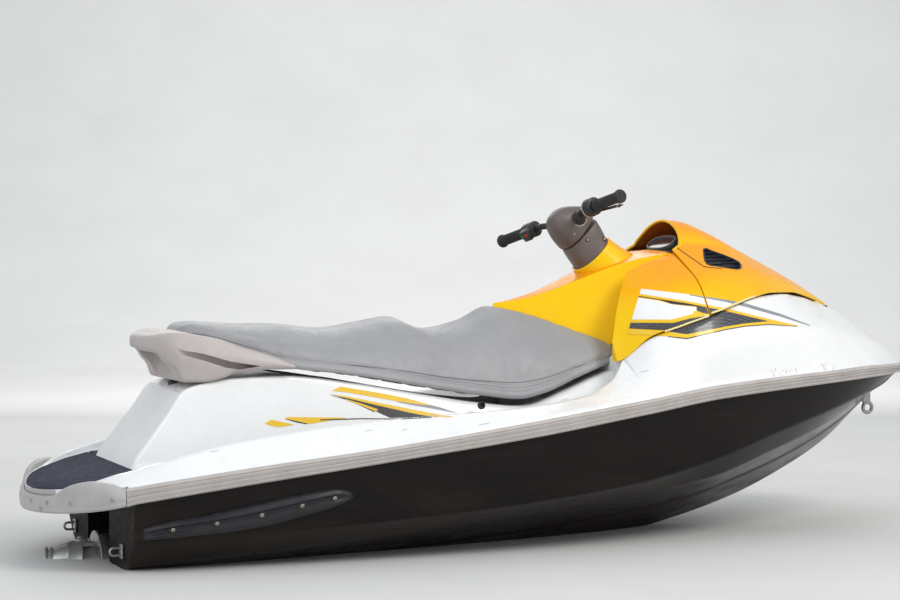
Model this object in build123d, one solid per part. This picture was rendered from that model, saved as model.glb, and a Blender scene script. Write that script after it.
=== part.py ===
from build123d import *
import math
import os

os.makedirs("parts", exist_ok=True)

# ---------------------------------------------------------------- frame
# Built with X measured forward from the stern edge of the boarding
# platform, then every node is moved aft by SHIFT so that the row's origin
# lies amidships on the water surface.  +Y is port, +Z is up.  Millimetres.
SHIFT = 1610.0

# ---------------------------------------------------------------- sizes
RAIL_T = 20.0          # thickness of the rub rail outside the hull
GAP = 6.0              # clearance round moving covers
PUMP_Z = -25.0         # height of the pump axis
PUMP_R_OUT = 92.0
PUMP_R_IN = 80.0
IMPELLER_R = 74.0
NOZZLE_X = 180.0       # steering nozzle pivot
SEAT_PIVOT = (2030.0, 620.0)
HOOD_HINGE = (2892.0, 748.0)
COLLAR_C = (1971.0, 0.0, 953.0)     # where the steering axis leaves the console
BAR_C = (1864.9, 0.0, 1059.1)       # the axis at the height of the handlebar
BAR_TURN = 18.0                     # degrees to port at rest
BAR_TILT = 45.0                     # steering axis back from vertical
NOZZLE_TURN = 15.0                  # the nozzle follows the bar
GRIP_R = 19.0
TUBE_R = 11.0

# x, half beam, rail top, rail bottom, knuckle z, chine z, keel z
HULL = [
    (240.0, 507.0, 267.0, 216.0, 90.0, 14.0, -140.0),
    (600.0, 555.0, 316.0, 266.0, 110.0, 40.0, -125.0),
    (1000.0, 578.0, 360.0, 315.0, 130.0, 72.0, -110.0),
    (1500.0, 585.0, 426.0, 376.0, 167.0, 120.0, -85.0),
    (1900.0, 575.0, 482.0, 435.0, 214.0, 166.0, -50.0),
    (2200.0, 548.0, 523.0, 478.0, 278.0, 205.0, 3.0),
    (2500.0, 485.0, 543.0, 500.0, 362.0, 288.0, 83.0),
    (2700.0, 420.0, 551.0, 510.0, 410.0, 345.0, 165.0),
    (2900.0, 325.0, 558.0, 517.0, 457.0, 412.0, 274.0),
    (3050.0, 225.0, 556.0, 520.0, 488.0, 462.0, 400.0),
    (3140.0, 145.0, 552.0, 522.0, 512.0, 506.0, 492.0),
]

# x, half beam, rail top z, shoulder y, shoulder z, upper y, upper z, centre z
DECK = [
    (112.0, 383.0, 240.0, 300.0, 262.0, 260.0, 262.0, 262.0),
    (172.0, 467.0, 253.0, 362.0, 282.0, 325.0, 282.0, 282.0),
    (240.0, 507.0, 267.0, 402.0, 302.0, 360.0, 302.0, 302.0),
    (400.0, 537.0, 292.0, 432.0, 345.0, 390.0, 345.0, 345.0),
    (600.0, 555.0, 316.0, 447.0, 388.0, 410.0, 388.0, 388.0),
    (1000.0, 578.0, 360.0, 468.0, 434.0, 430.0, 434.0, 434.0),
    (1500.0, 585.0, 426.0, 475.0, 463.0, 440.0, 463.0, 463.0),
    (1780.0, 580.0, 465.0, 470.0, 500.0, 420.0, 505.0, 505.0),
    (1900.0, 575.0, 482.0, 465.0, 530.0, 350.0, 585.0, 585.0),
    (2000.0, 568.0, 497.0, 480.0, 590.0, 415.0, 672.0, 672.0),
    (2150.0, 553.0, 517.0, 508.0, 630.0, 455.0, 728.0, 728.0),
    (2325.0, 524.0, 532.0, 480.0, 665.0, 418.0, 787.0, 787.0),
    (2436.0, 500.0, 539.0, 448.0, 685.0, 362.0, 808.0, 808.0),
    (2561.0, 466.0, 546.0, 405.0, 690.0, 284.0, 812.0, 815.0),
    (2712.0, 415.0, 552.0, 335.0, 690.0, 164.0, 798.0, 806.0),
    (2840.0, 357.0, 556.0, 265.0, 672.0, 80.0, 770.0, 776.0),
    (2900.0, 325.0, 558.0, 232.0, 660.0, 68.0, 747.0, 753.0),
    (2975.0, 280.0, 558.0, 190.0, 645.0, 62.0, 710.0, 717.0),
    (3085.0, 197.0, 555.0, 130.0, 608.0, 45.0, 638.0, 645.0),
    (3140.0, 145.0, 552.0, 88.0, 582.0, 30.0, 598.0, 602.0),
]

# x, foot half width, top half width, top z
PEDESTAL = [
    (300.0, 250.0, 243.0, 322.0),
    (345.0, 262.0, 240.0, 380.0),
    (404.0, 270.0, 232.0, 455.0),
    (466.0, 276.0, 226.0, 534.0),
    (620.0, 284.0, 224.0, 566.0),
    (790.0, 290.0, 226.0, 570.0),
    (1039.0, 296.0, 234.0, 540.0),
    (1248.0, 300.0, 240.0, 502.0),
    (1463.0, 302.0, 246.0, 466.0),
    (1610.0, 304.0, 250.0, 452.0),
    (1759.0, 306.0, 252.0, 498.0),
    (1905.0, 310.0, 262.0, 556.0),
]

# x, lower half width, lower z, shoulder half width, shoulder z,
# top half width, top z, crown z
SEAT = [
    (478.0, 70.0, 690.0, 66.0, 708.0, 46.0, 716.0, 719.0),
    (500.0, 122.0, 692.0, 116.0, 712.0, 84.0, 728.0, 732.0),
    (530.0, 152.0, 690.0, 146.0, 712.0, 100.0, 736.0, 741.0),
    (573.0, 182.0, 680.0, 176.0, 704.0, 114.0, 733.0, 740.0),
    (640.0, 206.0, 656.0, 200.0, 690.0, 126.0, 724.0, 735.0),
    (725.0, 226.0, 628.0, 216.0, 672.0, 130.0, 718.0, 731.0),
    (800.0, 248.0, 596.0, 218.0, 664.0, 126.0, 716.0, 731.0),
    (977.0, 254.0, 572.0, 214.0, 650.0, 120.0, 700.0, 714.0),
    (1100.0, 256.0, 552.0, 210.0, 644.0, 112.0, 712.0, 731.0),
    (1215.0, 256.0, 530.0, 206.0, 640.0, 106.0, 724.0, 747.0),
    (1343.0, 256.0, 508.0, 210.0, 620.0, 116.0, 690.0, 706.0),
    (1463.0, 258.0, 489.0, 212.0, 616.0, 112.0, 702.0, 728.0),
    (1589.0, 262.0, 475.0, 208.0, 620.0, 96.0, 742.0, 780.0),
    (1680.0, 264.0, 492.0, 212.0, 622.0, 100.0, 738.0, 776.0),
    (1800.0, 262.0, 540.0, 220.0, 630.0, 118.0, 716.0, 740.0),
    (1920.0, 246.0, 584.0, 224.0, 634.0, 150.0, 676.0, 690.0),
    (1985.0, 214.0, 608.0, 206.0, 626.0, 180.0, 640.0, 646.0),
]

# x, foot half width, foot z, flank half width, flank z, top half width, top z, crown z
CONSOLE = [
    (1604.0, 60.0, 640.0, 40.0, 700.0, 22.0, 778.0, 786.0),
    (1700.0, 150.0, 600.0, 110.0, 700.0, 62.0, 794.0, 806.0),
    (1800.0, 210.0, 600.0, 166.0, 716.0, 92.0, 826.0, 840.0),
    (1900.0, 342.0, 596.0, 240.0, 750.0, 112.0, 868.0, 882.0),
    (2000.0, 408.0, 680.0, 320.0, 800.0, 140.0, 908.0, 920.0),
    (2100.0, 440.0, 718.0, 360.0, 838.0, 165.0, 938.0, 948.0),
    (2190.0, 450.0, 748.0, 376.0, 860.0, 178.0, 958.0, 966.0),
]

# x, edge half width, edge z, flank half width, flank z, top half width, top z, crown z
HOOD = [
    (2198.0, 450.0, 757.0, 376.0, 862.0, 180.0, 965.0, 1040.0),
    (2240.0, 446.0, 768.0, 370.0, 872.0, 172.0, 985.0, 1070.0),
    (2300.0, 432.0, 786.0, 352.0, 882.0, 170.0, 985.0, 1066.0),
    (2380.0, 398.0, 806.0, 320.0, 888.0, 168.0, 976.0, 1036.0),
    (2500.0, 325.0, 822.0, 262.0, 882.0, 150.0, 938.0, 975.0),
    (2640.0, 220.0, 820.0, 178.0, 858.0, 110.0, 888.0, 906.0),
    (2760.0, 124.0, 802.0, 104.0, 820.0, 66.0, 838.0, 848.0),
    (2880.0, 52.0, 768.0, 44.0, 773.0, 28.0, 778.0, 782.0),
]

# platform and footwell floor, side view x, z
FLOOR = [(-60.0, 212.0), (0.0, 222.0), (100.0, 250.0), (200.0, 274.0),
         (300.0, 294.0), (600.0, 298.0), (1000.0, 304.0), (1400.0, 316.0),
         (1740.0, 340.0), (1850.0, 372.0), (1930.0, 440.0)]

# plan of the sunken area inside the gunwales, x, half width
WELL = [(-60.0, 200.0), (40.0, 216.0), (80.0, 262.0), (130.0, 316.0),
        (200.0, 366.0), (300.0, 398.0),
        (600.0, 428.0), (1000.0, 450.0), (1500.0, 455.0), (1750.0, 436.0),
        (1860.0, 400.0), (1925.0, 345.0)]

# plan of the rounded stern, x, half width on the outside
STERN = [(240.0, 507.0), (160.0, 463.0), (100.0, 380.0), (50.0, 264.0),
         (15.0, 130.0), (0.0, 40.0)]
# the same curve inside the bumper, and the inner edge of its corner caps
STERN_IN = [(240.0, 487.0), (170.0, 446.0), (114.0, 366.0), (67.0, 254.0),
            (34.0, 124.0), (20.0, 38.0)]
STERN_CAP = [(240.0, 457.0), (188.0, 424.0), (134.0, 352.0), (98.0, 310.0),
             (70.0, 262.0), (60.0, 228.0), (34.0, 124.0)]
RAIL_START = 213.0     # joint between the stern bumper and the rub rails


# ---------------------------------------------------------------- helpers
def closed(points):
    return Wire.make_polygon([Vector(*p) for p in points], close=True)


def loft_x(sections):
    return Solid.make_loft([closed(s) for s in sections], ruled=True)


def prism(points, vector):
    return Solid.extrude(Face(closed(points)), Vector(*vector))


def prism_xz(points, y0, y1):
    return prism([(x, y0, z) for x, z in points], (0, y1 - y0, 0))


def prism_xy(points, z0, z1):
    return prism([(x, y, z0) for x, y in points], (0, 0, z1 - z0))


def prism_yz(points, x0, x1):
    return prism([(x0, y, z) for y, z in points], (x1 - x0, 0, 0))


def block(x0, x1, y0, y1, z0, z1):
    return Solid.make_box(x1 - x0, y1 - y0, z1 - z0,
                          Plane(origin=(x0, y0, z0)))


def rod(p0, p1, r, r1=None):
    a, b = Vector(*p0), Vector(*p1)
    d = b - a
    pl = Plane(origin=a, z_dir=d.normalized())
    if r1 is None:
        return Solid.make_cylinder(r, d.length, pl)
    return Solid.make_cone(r, r1, d.length, pl)


def both(shape):
    return [shape, shape.mirror(Plane.XZ)]


def half_to_full(x, half):
    """half runs from the centre bottom up one side to the centre top."""
    a = [(x, -y, z) for y, z in half]
    b = [(x, y, z) for y, z in reversed(half) if y > 1e-6]
    return a + b


def cut(shape, *tools):
    for t in tools:
        shape = shape - t
    return shape


def join(*shapes):
    s = shapes[0]
    for t in shapes[1:]:
        s = s + t
    return s


def solids_of(shape):
    if isinstance(shape, (list, tuple)):
        out = []
        for s in shape:
            out += solids_of(s)
        return out
    if isinstance(shape, Solid):
        return [shape]
    return list(shape.solids())


NODES = {}


def save(name, shape):
    parts = [s for s in solids_of(shape) if s.volume > 50.0]
    moved = [s.moved(Location((-SHIFT, 0, 0))) for s in parts]
    body = moved[0] if len(moved) == 1 else Compound(children=moved)
    NODES[name] = parts
    export_step(body, f"parts/{name}.step")


def lerp_table(table, x, col):
    for a, b in zip(table, table[1:]):
        if a[0] <= x <= b[0]:
            t = (x - a[0]) / (b[0] - a[0])
            return a[col] + t * (b[col] - a[col])
    return table[0][col] if x < table[0][0] else table[-1][col]


def resample(table, xs):
    """the same straight-line table with rows at every x in xs."""
    n = len(table[0])
    return [tuple([x] + [lerp_table(table, x, c) for c in range(1, n)])
            for x in xs if table[0][0] <= x <= table[-1][0]]


# the hull and deck share one plan curve and one rail line
XS = sorted({r[0] for r in HULL} | {r[0] for r in DECK})
HULL_F = resample(HULL, XS)
DECK_F = [(r[0], lerp_table(HULL, r[0], 1) if r[0] >= 240 else r[1],
           lerp_table(HULL, r[0], 2) if r[0] >= 240 else r[2]) + r[3:]
          for r in resample(DECK, XS)]


# ---------------------------------------------------------------- hull
def hull_section(row):
    x, b, zt, zr, zn, zc, zk = row
    zm = zt - 25.0
    w = b - RAIL_T
    cb = max(b - 120.0, 0.22 * b)
    kb = max(b - 50.0, 0.55 * b)
    return half_to_full(x, [(0.0, zk), (cb, zc), (kb, zn), (w, zr),
                            (w, zm), (0.0, zm)])


hull = loft_x([hull_section(r) for r in HULL_F])

# pump tunnel, intake channel and engine bay
tunnel = join(rod((200, 0, PUMP_Z), (450, 0, PUMP_Z), 108.0),
              block(200, 450, -100, 100, -260, PUMP_Z),
              block(200, 280, -150, 150, -260, 165))
intake = prism_xz([(440, 60), (660, 40), (790, -100), (806, -260),
                   (440, -260)], -88, 88)
bay = block(820, 1700, -200, 200, 50, 700)
sump = block(935, 1260, -52, 52, -55, 60)
shaft_bore = rod((440, 0, PUMP_Z), (940, 0, PUMP_Z), 20.0)
tub_hole = block(2290, 2616, -212, 212, 440, 900)
grate_seat = block(540, 812, -96, 96, -260, -104)
plate_seat = prism_xz([(225, -260), (225, -112), (540, -98), (540, -260)],
                      -152, 152)
# room for the moulded footwell pan, PAN thick, which belongs to the deck
PAN = 12.0
pan_plan = [(x, y + PAN) for x, y in WELL[:-1]] + [(1940.0, 352.0)]
pan_plan = pan_plan + [(x, -y) for x, y in reversed(pan_plan)]
pan_line = [(x, z - PAN) for x, z in FLOOR] + [(1945.0, 440.0)]
pan_space = prism_xy(pan_plan, 150, 900) & prism_xz(
    pan_line + [(1945, 950), (-60, 950)], -600, 600)
hull = cut(hull, tunnel, intake, bay, sump, shaft_bore,
           grate_seat, plate_seat, pan_space)
# the moulding is laid up in lengths: stern and bow, the part round the
# engine bay, and the two topsides beside the footwells
BAY_AFT, BAY_FWD, WELL_FWD = 820.0, 1700.0, 1920.0
over_pan = prism_xz(pan_line[:-2] + [(1930.0, 428.0), (1930, 1500), (-60, 1500)], -900, 900)
low_hull = hull - (over_pan & block(-100, WELL_FWD, -900, 900, 0, 1500))
save("hull_bottom", [low_hull & block(0, BAY_AFT, -900, 900, -500, 900),
                     low_hull & block(WELL_FWD, 4000, -900, 900, -500, 900)])
save("hull_midship", low_hull & block(BAY_AFT, WELL_FWD, -900, 900, -500, 900))
tops = hull & over_pan & block(400, WELL_FWD, -900, 900, 0, 1500)
save("hull_topsides", [max(solids_of(tops & block(0, 4000, 0, 900, -500, 900)), key=lambda q: q.volume),
                       max(solids_of(tops & block(0, 4000, -900, 0, -500, 900)), key=lambda q: q.volume)])


# ---------------------------------------------------------------- deck
def deck_section(row):
    x, b, zt, y3, z3, y4, z4, z5 = row
    w = b - RAIL_T
    zm = zt - 25.0
    return half_to_full(x, [(0.0, zm), (w, zm), (w, zt), (w - 12, zt + 9),
                            (y3, z3), (y4, z4), (0.0, z5)])


deck = loft_x([deck_section(r) for r in DECK_F])

# rounded stern of the platform, inside the bumper
plan = STERN_IN + [(x, -y) for x, y in reversed(STERN_IN)]
slab = prism_xy(plan, 100, 400)
slab = slab & prism_xz([(-80, 176), (-80, 208), (0, 222), (100, 250), (200, 274),
                        (240, 282), (240, 242), (0, 187)], -600, 600)
deck = deck + slab
rail_mid = [(r[0], r[2] - 20.0) for r in HULL_F if r[0] <= 1900]
pan = pan_space & prism_xz([(240.0, 200.0)] + rail_mid[:1] + rail_mid[1:]
                           + [(1950.0, 468.0), (1950.0, 200.0)], -600, 600)
deck = deck + pan

well_plan = WELL + [(x, -y) for x, y in reversed(WELL)]
well = prism_xy(well_plan, 150, 900) & prism_xz(
    FLOOR + [(1930, 950), (-60, 950)], -600, 600)
deck = deck - well

def floor_z(x):
    return lerp_table(FLOOR, x, 1)


PED_X = sorted({r[0] for r in PEDESTAL} | {r[0] for r in FLOOR if 300 < r[0] < 1905})
pedestal = loft_x([half_to_full(x, [(0.0, floor_z(x) - 6), (w0, floor_z(x) - 6),
                                     (w0 - 6, floor_z(x) + min(60.0, (z1 - floor_z(x)) * 0.5)),
                                     (w1, z1), (0.0, z1)])
                   for x, w0, w1, z1 in resample(PEDESTAL, PED_X)])
deck = deck + pedestal
# the seat's sides drop into the deck in front
seat_room = loft_x([half_to_full(x, [(0.0, zl - GAP), (wl + GAP, zl - GAP), (wl + GAP, 1000.0), (0.0, 1000.0)])
                    for x, wl, zl in [(r[0], r[1], r[2]) for r in SEAT if r[0] > 1500] + [(2003.0, 226.0, 612.0)]])
deck = deck - seat_room
deck = cut(deck, bay, tub_hole)
# recess for the seat hooks behind the console and for the hood hinge
deck = deck - block(2832, 2904, -46, 46, 715, 900)

# the top moulding in its lengths: foredeck, gunwales, floors and pedestal
in_well = prism_xy(well_plan, -300, 1300) & block(-100, WELL_FWD, -900, 900, -300, 1300)
under_floor = prism_xz(FLOOR + [(1930.0, -200.0), (-60.0, -200.0)], -900, 900)
side_bay = block(BAY_AFT, BAY_FWD, -900, 900, -300, 1300)
inner_deck = deck & in_well
floors = inner_deck & under_floor
raised = inner_deck - under_floor
gunwales = (deck & block(-100, WELL_FWD, -900, 900, -300, 1300)) - in_well


def big(shape, least=20000.0):
    return [q for q in solids_of(shape) if q.volume > least]


save("deck", max(solids_of(deck & block(WELL_FWD, 4000, -900, 900, -300, 1300)), key=lambda q: q.volume))
save("deck_gunwales", big(gunwales))
save("boarding_deck", big(floors - side_bay))
save("footwell_floors", big(floors & side_bay))
save("seat_pedestal", big(raised - side_bay))
save("engine_bay_coamings", big(raised & side_bay))

# ---------------------------------------------------------------- rub rails
RAIL_ROWS = [(RAIL_START, 492.2, 262.0, 208.0)] + [(r[0], r[1], r[2], r[3]) for r in HULL_F]


def rail_section(x, b, zt, zr):
    return [(x, -(b - RAIL_T), zr), (x, -(b - 6), zr), (x, -b, zr + 8),
            (x, -b, zt - 10), (x, -(b - 8), zt), (x, -(b - RAIL_T), zt)]


rail = loft_x([rail_section(*r) for r in RAIL_ROWS])
save("rub_rails", both(rail))

# stern bumper round the platform
outer_plan = STERN + [(x, -y) for x, y in reversed(STERN)]
ring = prism_xy(outer_plan, 100, 400) - prism_xy(plan, 90, 410)
ring = ring & prism_xz([(-20, 152), (-20, 212), (42, 226), (70, 262), (93, 275), (118, 281),
                        (155, 278), (185, 268), (211, 261), (211, 208), (100, 182)], -600, 600)
caps_plan = STERN_CAP + [(x, -y) for x, y in reversed(STERN_CAP)]
caps = (prism_xy(outer_plan, 100, 400) - prism_xy(caps_plan, 90, 410)) & prism_xz(
    [(42, 226), (70, 262), (93, 275), (118, 281), (155, 278), (185, 268), (211, 261), (211, 236), (42, 222)], -600, 600)
bumper = cut(join(ring, caps), deck)
save("stern_bumper", [q for q in solids_of(bumper) if q.volume > 5000.0])

# bow bumper
nose_rows = [(3141.0, 145.0, 552.0, 520.0), (3180.0, 98.0, 548.0, 518.0),
             (3208.0, 52.0, 543.0, 516.0), (3220.0, 18.0, 538.0, 518.0)]
nose = loft_x([half_to_full(x, [(0.0, zb - 6), (b * 0.7, zb - 4), (b, zb + 6), (b, zt - 8),
                                (b * 0.7, zt + 2), (0.0, zt + 14 - 0.1 * (x - 3141))])
               for x, b, zt, zb in nose_rows])
save("bow_bumper", nose)

# bow towing eye under the nose
eye = block(3060, 3112, -8, 8, 372, 470)
eye = join(eye, rod((3092, -8, 385), (3092, 8, 385), 26))
eye = cut(eye, rod((3092, -20, 385), (3092, 20, 385), 12), hull)
save("bow_eye", max(solids_of(eye), key=lambda s: s.volume))

# stern eyes on the transom
lug = join(block(205, 235, -338, -322, 34, 76),
           rod((205, -338, 55), (205, -322, 55), 21))
lug = lug - rod((205, -360, 55), (205, -300, 55), 10)
plate = block(229, 235, -352, -308, 28, 82)
save("stern_eyes", both(join(lug, plate)))

# ---------------------------------------------------------------- sponsons
def side_y(x, z):
    """half width of the topsides at height z."""
    b = lerp_table(HULL, x, 1)
    zr = lerp_table(HULL, x, 3)
    zn = lerp_table(HULL, x, 4)
    t = (z - zn) / (zr - zn)
    return (b - 50.0) + t * 30.0


SPONSON = [(268.0, 104.0, 140.0, 14.0), (330.0, 108.0, 158.0, 26.0),
           (470.0, 118.0, 180.0, 30.0), (620.0, 134.0, 208.0, 30.0),
           (770.0, 166.0, 234.0, 28.0), (850.0, 186.0, 242.0, 22.0),
           (908.0, 205.0, 226.0, 8.0)]


def sponson_section(x, z0, z1, t):
    y0, y1 = side_y(x, z0), side_y(x, z1)
    return [(x, -(y0 - 2), z0), (x, -(y0 + t), z0 + (z1 - z0) * 0.25),
            (x, -(y1 + t), z0 + (z1 - z0) * 0.75), (x, -(y1 - 2), z1)]


spon = loft_x([sponson_section(*r) for r in SPONSON]) - hull
save("sponsons", both(max(solids_of(spon), key=lambda s: s.volume)))

# ---------------------------------------------------------------- mats
MAT_T = 5.0


def on_floor(plan_points):
    band = prism_xz(FLOOR[1:] + [(x, z + MAT_T) for x, z in reversed(FLOOR[1:])],
                    -600, 600)
    return prism_xy(plan_points, 100, 700) & band


mat_half = [(30, 60), (44, 124), (76, 240), (120, 296), (210, 352), (291, 373), (405, 395),
            (405, 285), (345, 276), (300, 266), (292, 262)]
mat_plan = mat_half + [(x, -y) for x, y in reversed(mat_half)]
save("platform_mat", on_floor(mat_plan))
foot_plan = [(424, -292), (424, -399), (900, -428), (1500, -440), (1740, -420),
             (1840, -390), (1840, -336), (1500, -318), (900, -308), (620, -300)]
foot = on_floor(foot_plan) - pedestal
save("footwell_mats", both(max(solids_of(foot), key=lambda s: s.volume)))

# ---------------------------------------------------------------- pump
housing = join(rod((236, 0, PUMP_Z), (450, 0, PUMP_Z), PUMP_R_OUT),
               rod((428, 0, PUMP_Z), (450, 0, PUMP_Z), 98.0))
housing = housing - rod((200, 0, PUMP_Z), (500, 0, PUMP_Z), PUMP_R_IN)
save("pump_housing", housing)

cone = join(rod((236, 0, PUMP_Z), (228, 0, PUMP_Z), 104),
            rod((229, 0, PUMP_Z), (165, 0, PUMP_Z), 54, 49))
cone = cone - join(rod((240, 0, PUMP_Z), (231, 0, PUMP_Z), 78),
                   rod((231, 0, PUMP_Z), (160, 0, PUMP_Z), 47, 41))
pins = join(rod((NOZZLE_X, 0, PUMP_Z + 50), (NOZZLE_X, 0, PUMP_Z + 88), 6),
            rod((NOZZLE_X, 0, PUMP_Z - 50), (NOZZLE_X, 0, PUMP_Z - 88), 6))
save("pump_nozzle", cone + pins)

st = join(rod((192, 0, PUMP_Z), (150, 0, PUMP_Z), 78, 72),
          rod((151, 0, PUMP_Z), (96, 0, PUMP_Z), 72, 52),
          rod((97, 0, PUMP_Z), (70, 0, PUMP_Z), 56))
st = st - join(rod((193, 0, PUMP_Z), (150, 0, PUMP_Z), 71, 65),
               rod((151, 0, PUMP_Z), (96, 0, PUMP_Z), 65, 45),
               rod((97, 0, PUMP_Z), (60, 0, PUMP_Z), 45))
st = st - rod((NOZZLE_X, 0, PUMP_Z - 120), (NOZZLE_X, 0, PUMP_Z + 120), 6.4)
arm = block(150, 176, -112, -68, PUMP_Z - 6, PUMP_Z + 6)
arm = arm - rod((163, -100, PUMP_Z - 20), (163, -100, PUMP_Z + 20), 4)
st = join(st, arm)
st = st.rotate(Axis((NOZZLE_X, 0, 0), (0, 0, 1)), -NOZZLE_TURN)
save("steering_nozzle", st)

hub = join(rod((296, 0, PUMP_Z), (380, 0, PUMP_Z), 30), rod((296, 0, PUMP_Z), (268, 0, PUMP_Z), 30, 12))
hub = hub - rod((330, 0, PUMP_Z), (400, 0, PUMP_Z), 12)
blades = []
for k in range(3):
    prof = [(-34, 26), (34, 26), (34, IMPELLER_R), (-34, IMPELLER_R)]
    bl = prism([(338 + u, -3, PUMP_Z + v) for u, v in prof], (0, 6, 0))
    bl = bl.rotate(Axis((338, 0, PUMP_Z), (0, 0, 1)), 38)
    bl = bl & rod((290, 0, PUMP_Z), (386, 0, PUMP_Z), IMPELLER_R)
    blades.append(bl.rotate(Axis((338, 0, PUMP_Z), (1, 0, 0)), 120 * k))
save("impeller", join(hub, *blades))

shaft = join(rod((330, 0, PUMP_Z), (1010, 0, PUMP_Z), 12.0),
             rod((975, 0, PUMP_Z), (1010, 0, PUMP_Z), 24.0))
save("drive_shaft", shaft)

bars = [block(552, 800, y - 4, y + 4, -126, -112) for y in (-60, -30, 0, 30, 60)]
grate = join(block(546, 566, -90, 90, -126, -108), block(788, 808, -90, 90, -126, -104), *bars)
save("intake_grate", grate - hull)

plate = prism_xz([(228, -152), (228, -136), (538, -121), (538, -138)], -146, 146)
save("ride_plate", plate)

engine = join(block(1040, 1560, -150, 150, 70, 330),
              block(1090, 1290, -90, 90, 330, 420),
              block(1320, 1520, -90, 90, 330, 420))
save("engine_block", engine)

# ---------------------------------------------------------------- console
console_full = loft_x([half_to_full(x, [(0.0, zf), (wf, zf), (wk, zk), (wt, zt), (0.0, zc)])
                       for x, wf, zf, wk, zk, wt, zt, zc in CONSOLE])
console_full = cut(console_full, deck)
console_full = max(solids_of(console_full), key=lambda s: s.volume)

# the seat is cut back from the console by two sloping planes
SLOPE = math.radians(50.0)
APEX = (1604.0, 0.0, 786.0)
TIP = (2000.0, -205.0, 620.0)


def slab_below(grow):
    """solid region forward of and under the two planes, grown by grow."""
    dx, dz = math.cos(SLOPE), math.sin(SLOPE)
    sols = []
    for s in (-1.0, 1.0):
        a = Vector(*APEX)
        t = Vector(TIP[0], s * 205.0, TIP[2])
        ext = t + (t - a) * 0.6
        back = Vector(-dx, 0, -dz)
        up = Vector(dx, 0, dz)
        shift = Vector(-grow, 0, grow * 0.35)
        p = [a + up * 700 + shift, a + back * 420 + shift,
             ext + back * 420 + shift, ext + up * 700 + shift]
        sols.append(prism([(q.X, q.Y, q.Z) for q in p], (900, 0, 0)))
    return sols


SEAT_FREE = [s & block(1200, 3200, -700, 0.01, 0, 1900) for s in slab_below(GAP)[:1]] + \
            [s & block(1200, 3200, -0.01, 700, 0, 1900) for s in slab_below(GAP)[1:]]
CONSOLE_ZONE = [s & block(1200, 3200, -700, 0.01, 0, 1900) for s in slab_below(0.0)[:1]] + \
               [s & block(1200, 3200, -0.01, 700, 0, 1900) for s in slab_below(0.0)[1:]]

zone = join(*CONSOLE_ZONE) & block(1400, 2400, -196, 196, 300, 1300)
side_plan = [(2010, 190), (2002, 205), (1912, 300), (1905, 320), (1905, 600), (2400, 600), (2400, 190)]
zone = join(zone, block(2010, 2400, -196, 196, 300, 1300), prism_xy(side_plan, 300, 1300),
            prism_xy([(x, -y) for x, y in side_plan], 300, 1300))
console_full = console_full & zone
console_full = max(solids_of(console_full), key=lambda s: s.volume)
core = console_full & block(1500, 2195, -186, 186, 500, 1100)
# raised collar round the foot of the steering column, square to its axis
tilt = math.radians(BAR_TILT)
AX = Vector(-math.sin(tilt), 0, math.cos(tilt))
COLLAR = Vector(*COLLAR_C)
low_collar = COLLAR - AX * 110.0
collar = rod((low_collar.X, 0, low_collar.Z), (COLLAR.X, 0, COLLAR.Z), 102, 80)
core = core + collar
flanks = [console_full & block(1500, 2195, -600, -186, 500, 1100),
          console_full & block(1500, 2195, 186, 600, 500, 1100)]
save("console", max(solids_of(core), key=lambda s: s.volume))
save("side_fairings", flanks)

# ---------------------------------------------------------------- seat
seat = loft_x([half_to_full(x, [(0.0, zl), (wl, zl), (wl, zl + 16), (ws, zs), (wt, zt), (0.0, zc)])
               for x, wl, zl, ws, zs, wt, zt, zc in SEAT])
seat = cut(seat, *SEAT_FREE)
seat = max(solids_of(seat), key=lambda s: s.volume)
# cushion above, moulded base below
base_core = loft_x([half_to_full(x, [(0.0, zl - 1), (wl - 16, zl - 1), (wl - 16, zl + 14), (0.0, zl + 14)])
                    for x, wl, zl, ws, zs, wt, zt, zc in SEAT[:-1]])
seat_base = seat & base_core
cushion = seat - base_core
save("seat_cushion", max(solids_of(cushion), key=lambda s: s.volume))
save("seat_base", max(solids_of(seat_base), key=lambda s: s.volume))

# x, half width, lower z, upper half width, upper z
HANDLE = [(356.0, 44.0, 668.0, 40.0, 690.0), (372.0, 100.0, 658.0, 96.0, 698.0),
          (398.0, 150.0, 648.0, 146.0, 704.0), (420.0, 176.0, 622.0, 172.0, 710.0),
          (445.0, 198.0, 598.0, 192.0, 712.0), (466.0, 210.0, 556.0, 200.0, 712.0),
          (520.0, 234.0, 556.0, 218.0, 702.0), (580.0, 244.0, 566.0, 226.0, 690.0),
          (640.0, 248.0, 588.0, 230.0, 668.0), (730.0, 252.0, 592.0, 238.0, 640.0),
          (815.0, 257.0, 592.0, 250.0, 606.0)]
handle = loft_x([half_to_full(x, [(0.0, z0), (w0, z0), (w0 + 8, (z0 + z1) / 2), (w1, z1), (0.0, z1 + 4)])
                 for x, w0, z0, w1, z1 in HANDLE])
# fingers go up behind the bar, and a long groove runs along each side
finger_room = block(402, 462, -118, 118, 540, 676)
GROOVE = [(420, 668), (468, 656), (520, 647), (606, 621), (705, 604), (640, 594),
          (591, 602), (526, 624), (461, 643), (425, 656)]
handle = cut(handle, seat, pedestal, finger_room, prism_xz(GROOVE, -300, -206),
             prism_xz(GROOVE, 206, 300))
save("grab_handle", max(solids_of(handle), key=lambda s: s.volume))
latch = join(rod((486, 0, 535), (486, 0, 552), 16), rod((486, 0, 551), (486, 0, 575), 8))
save("seat_latch", latch - handle - deck)

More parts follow.
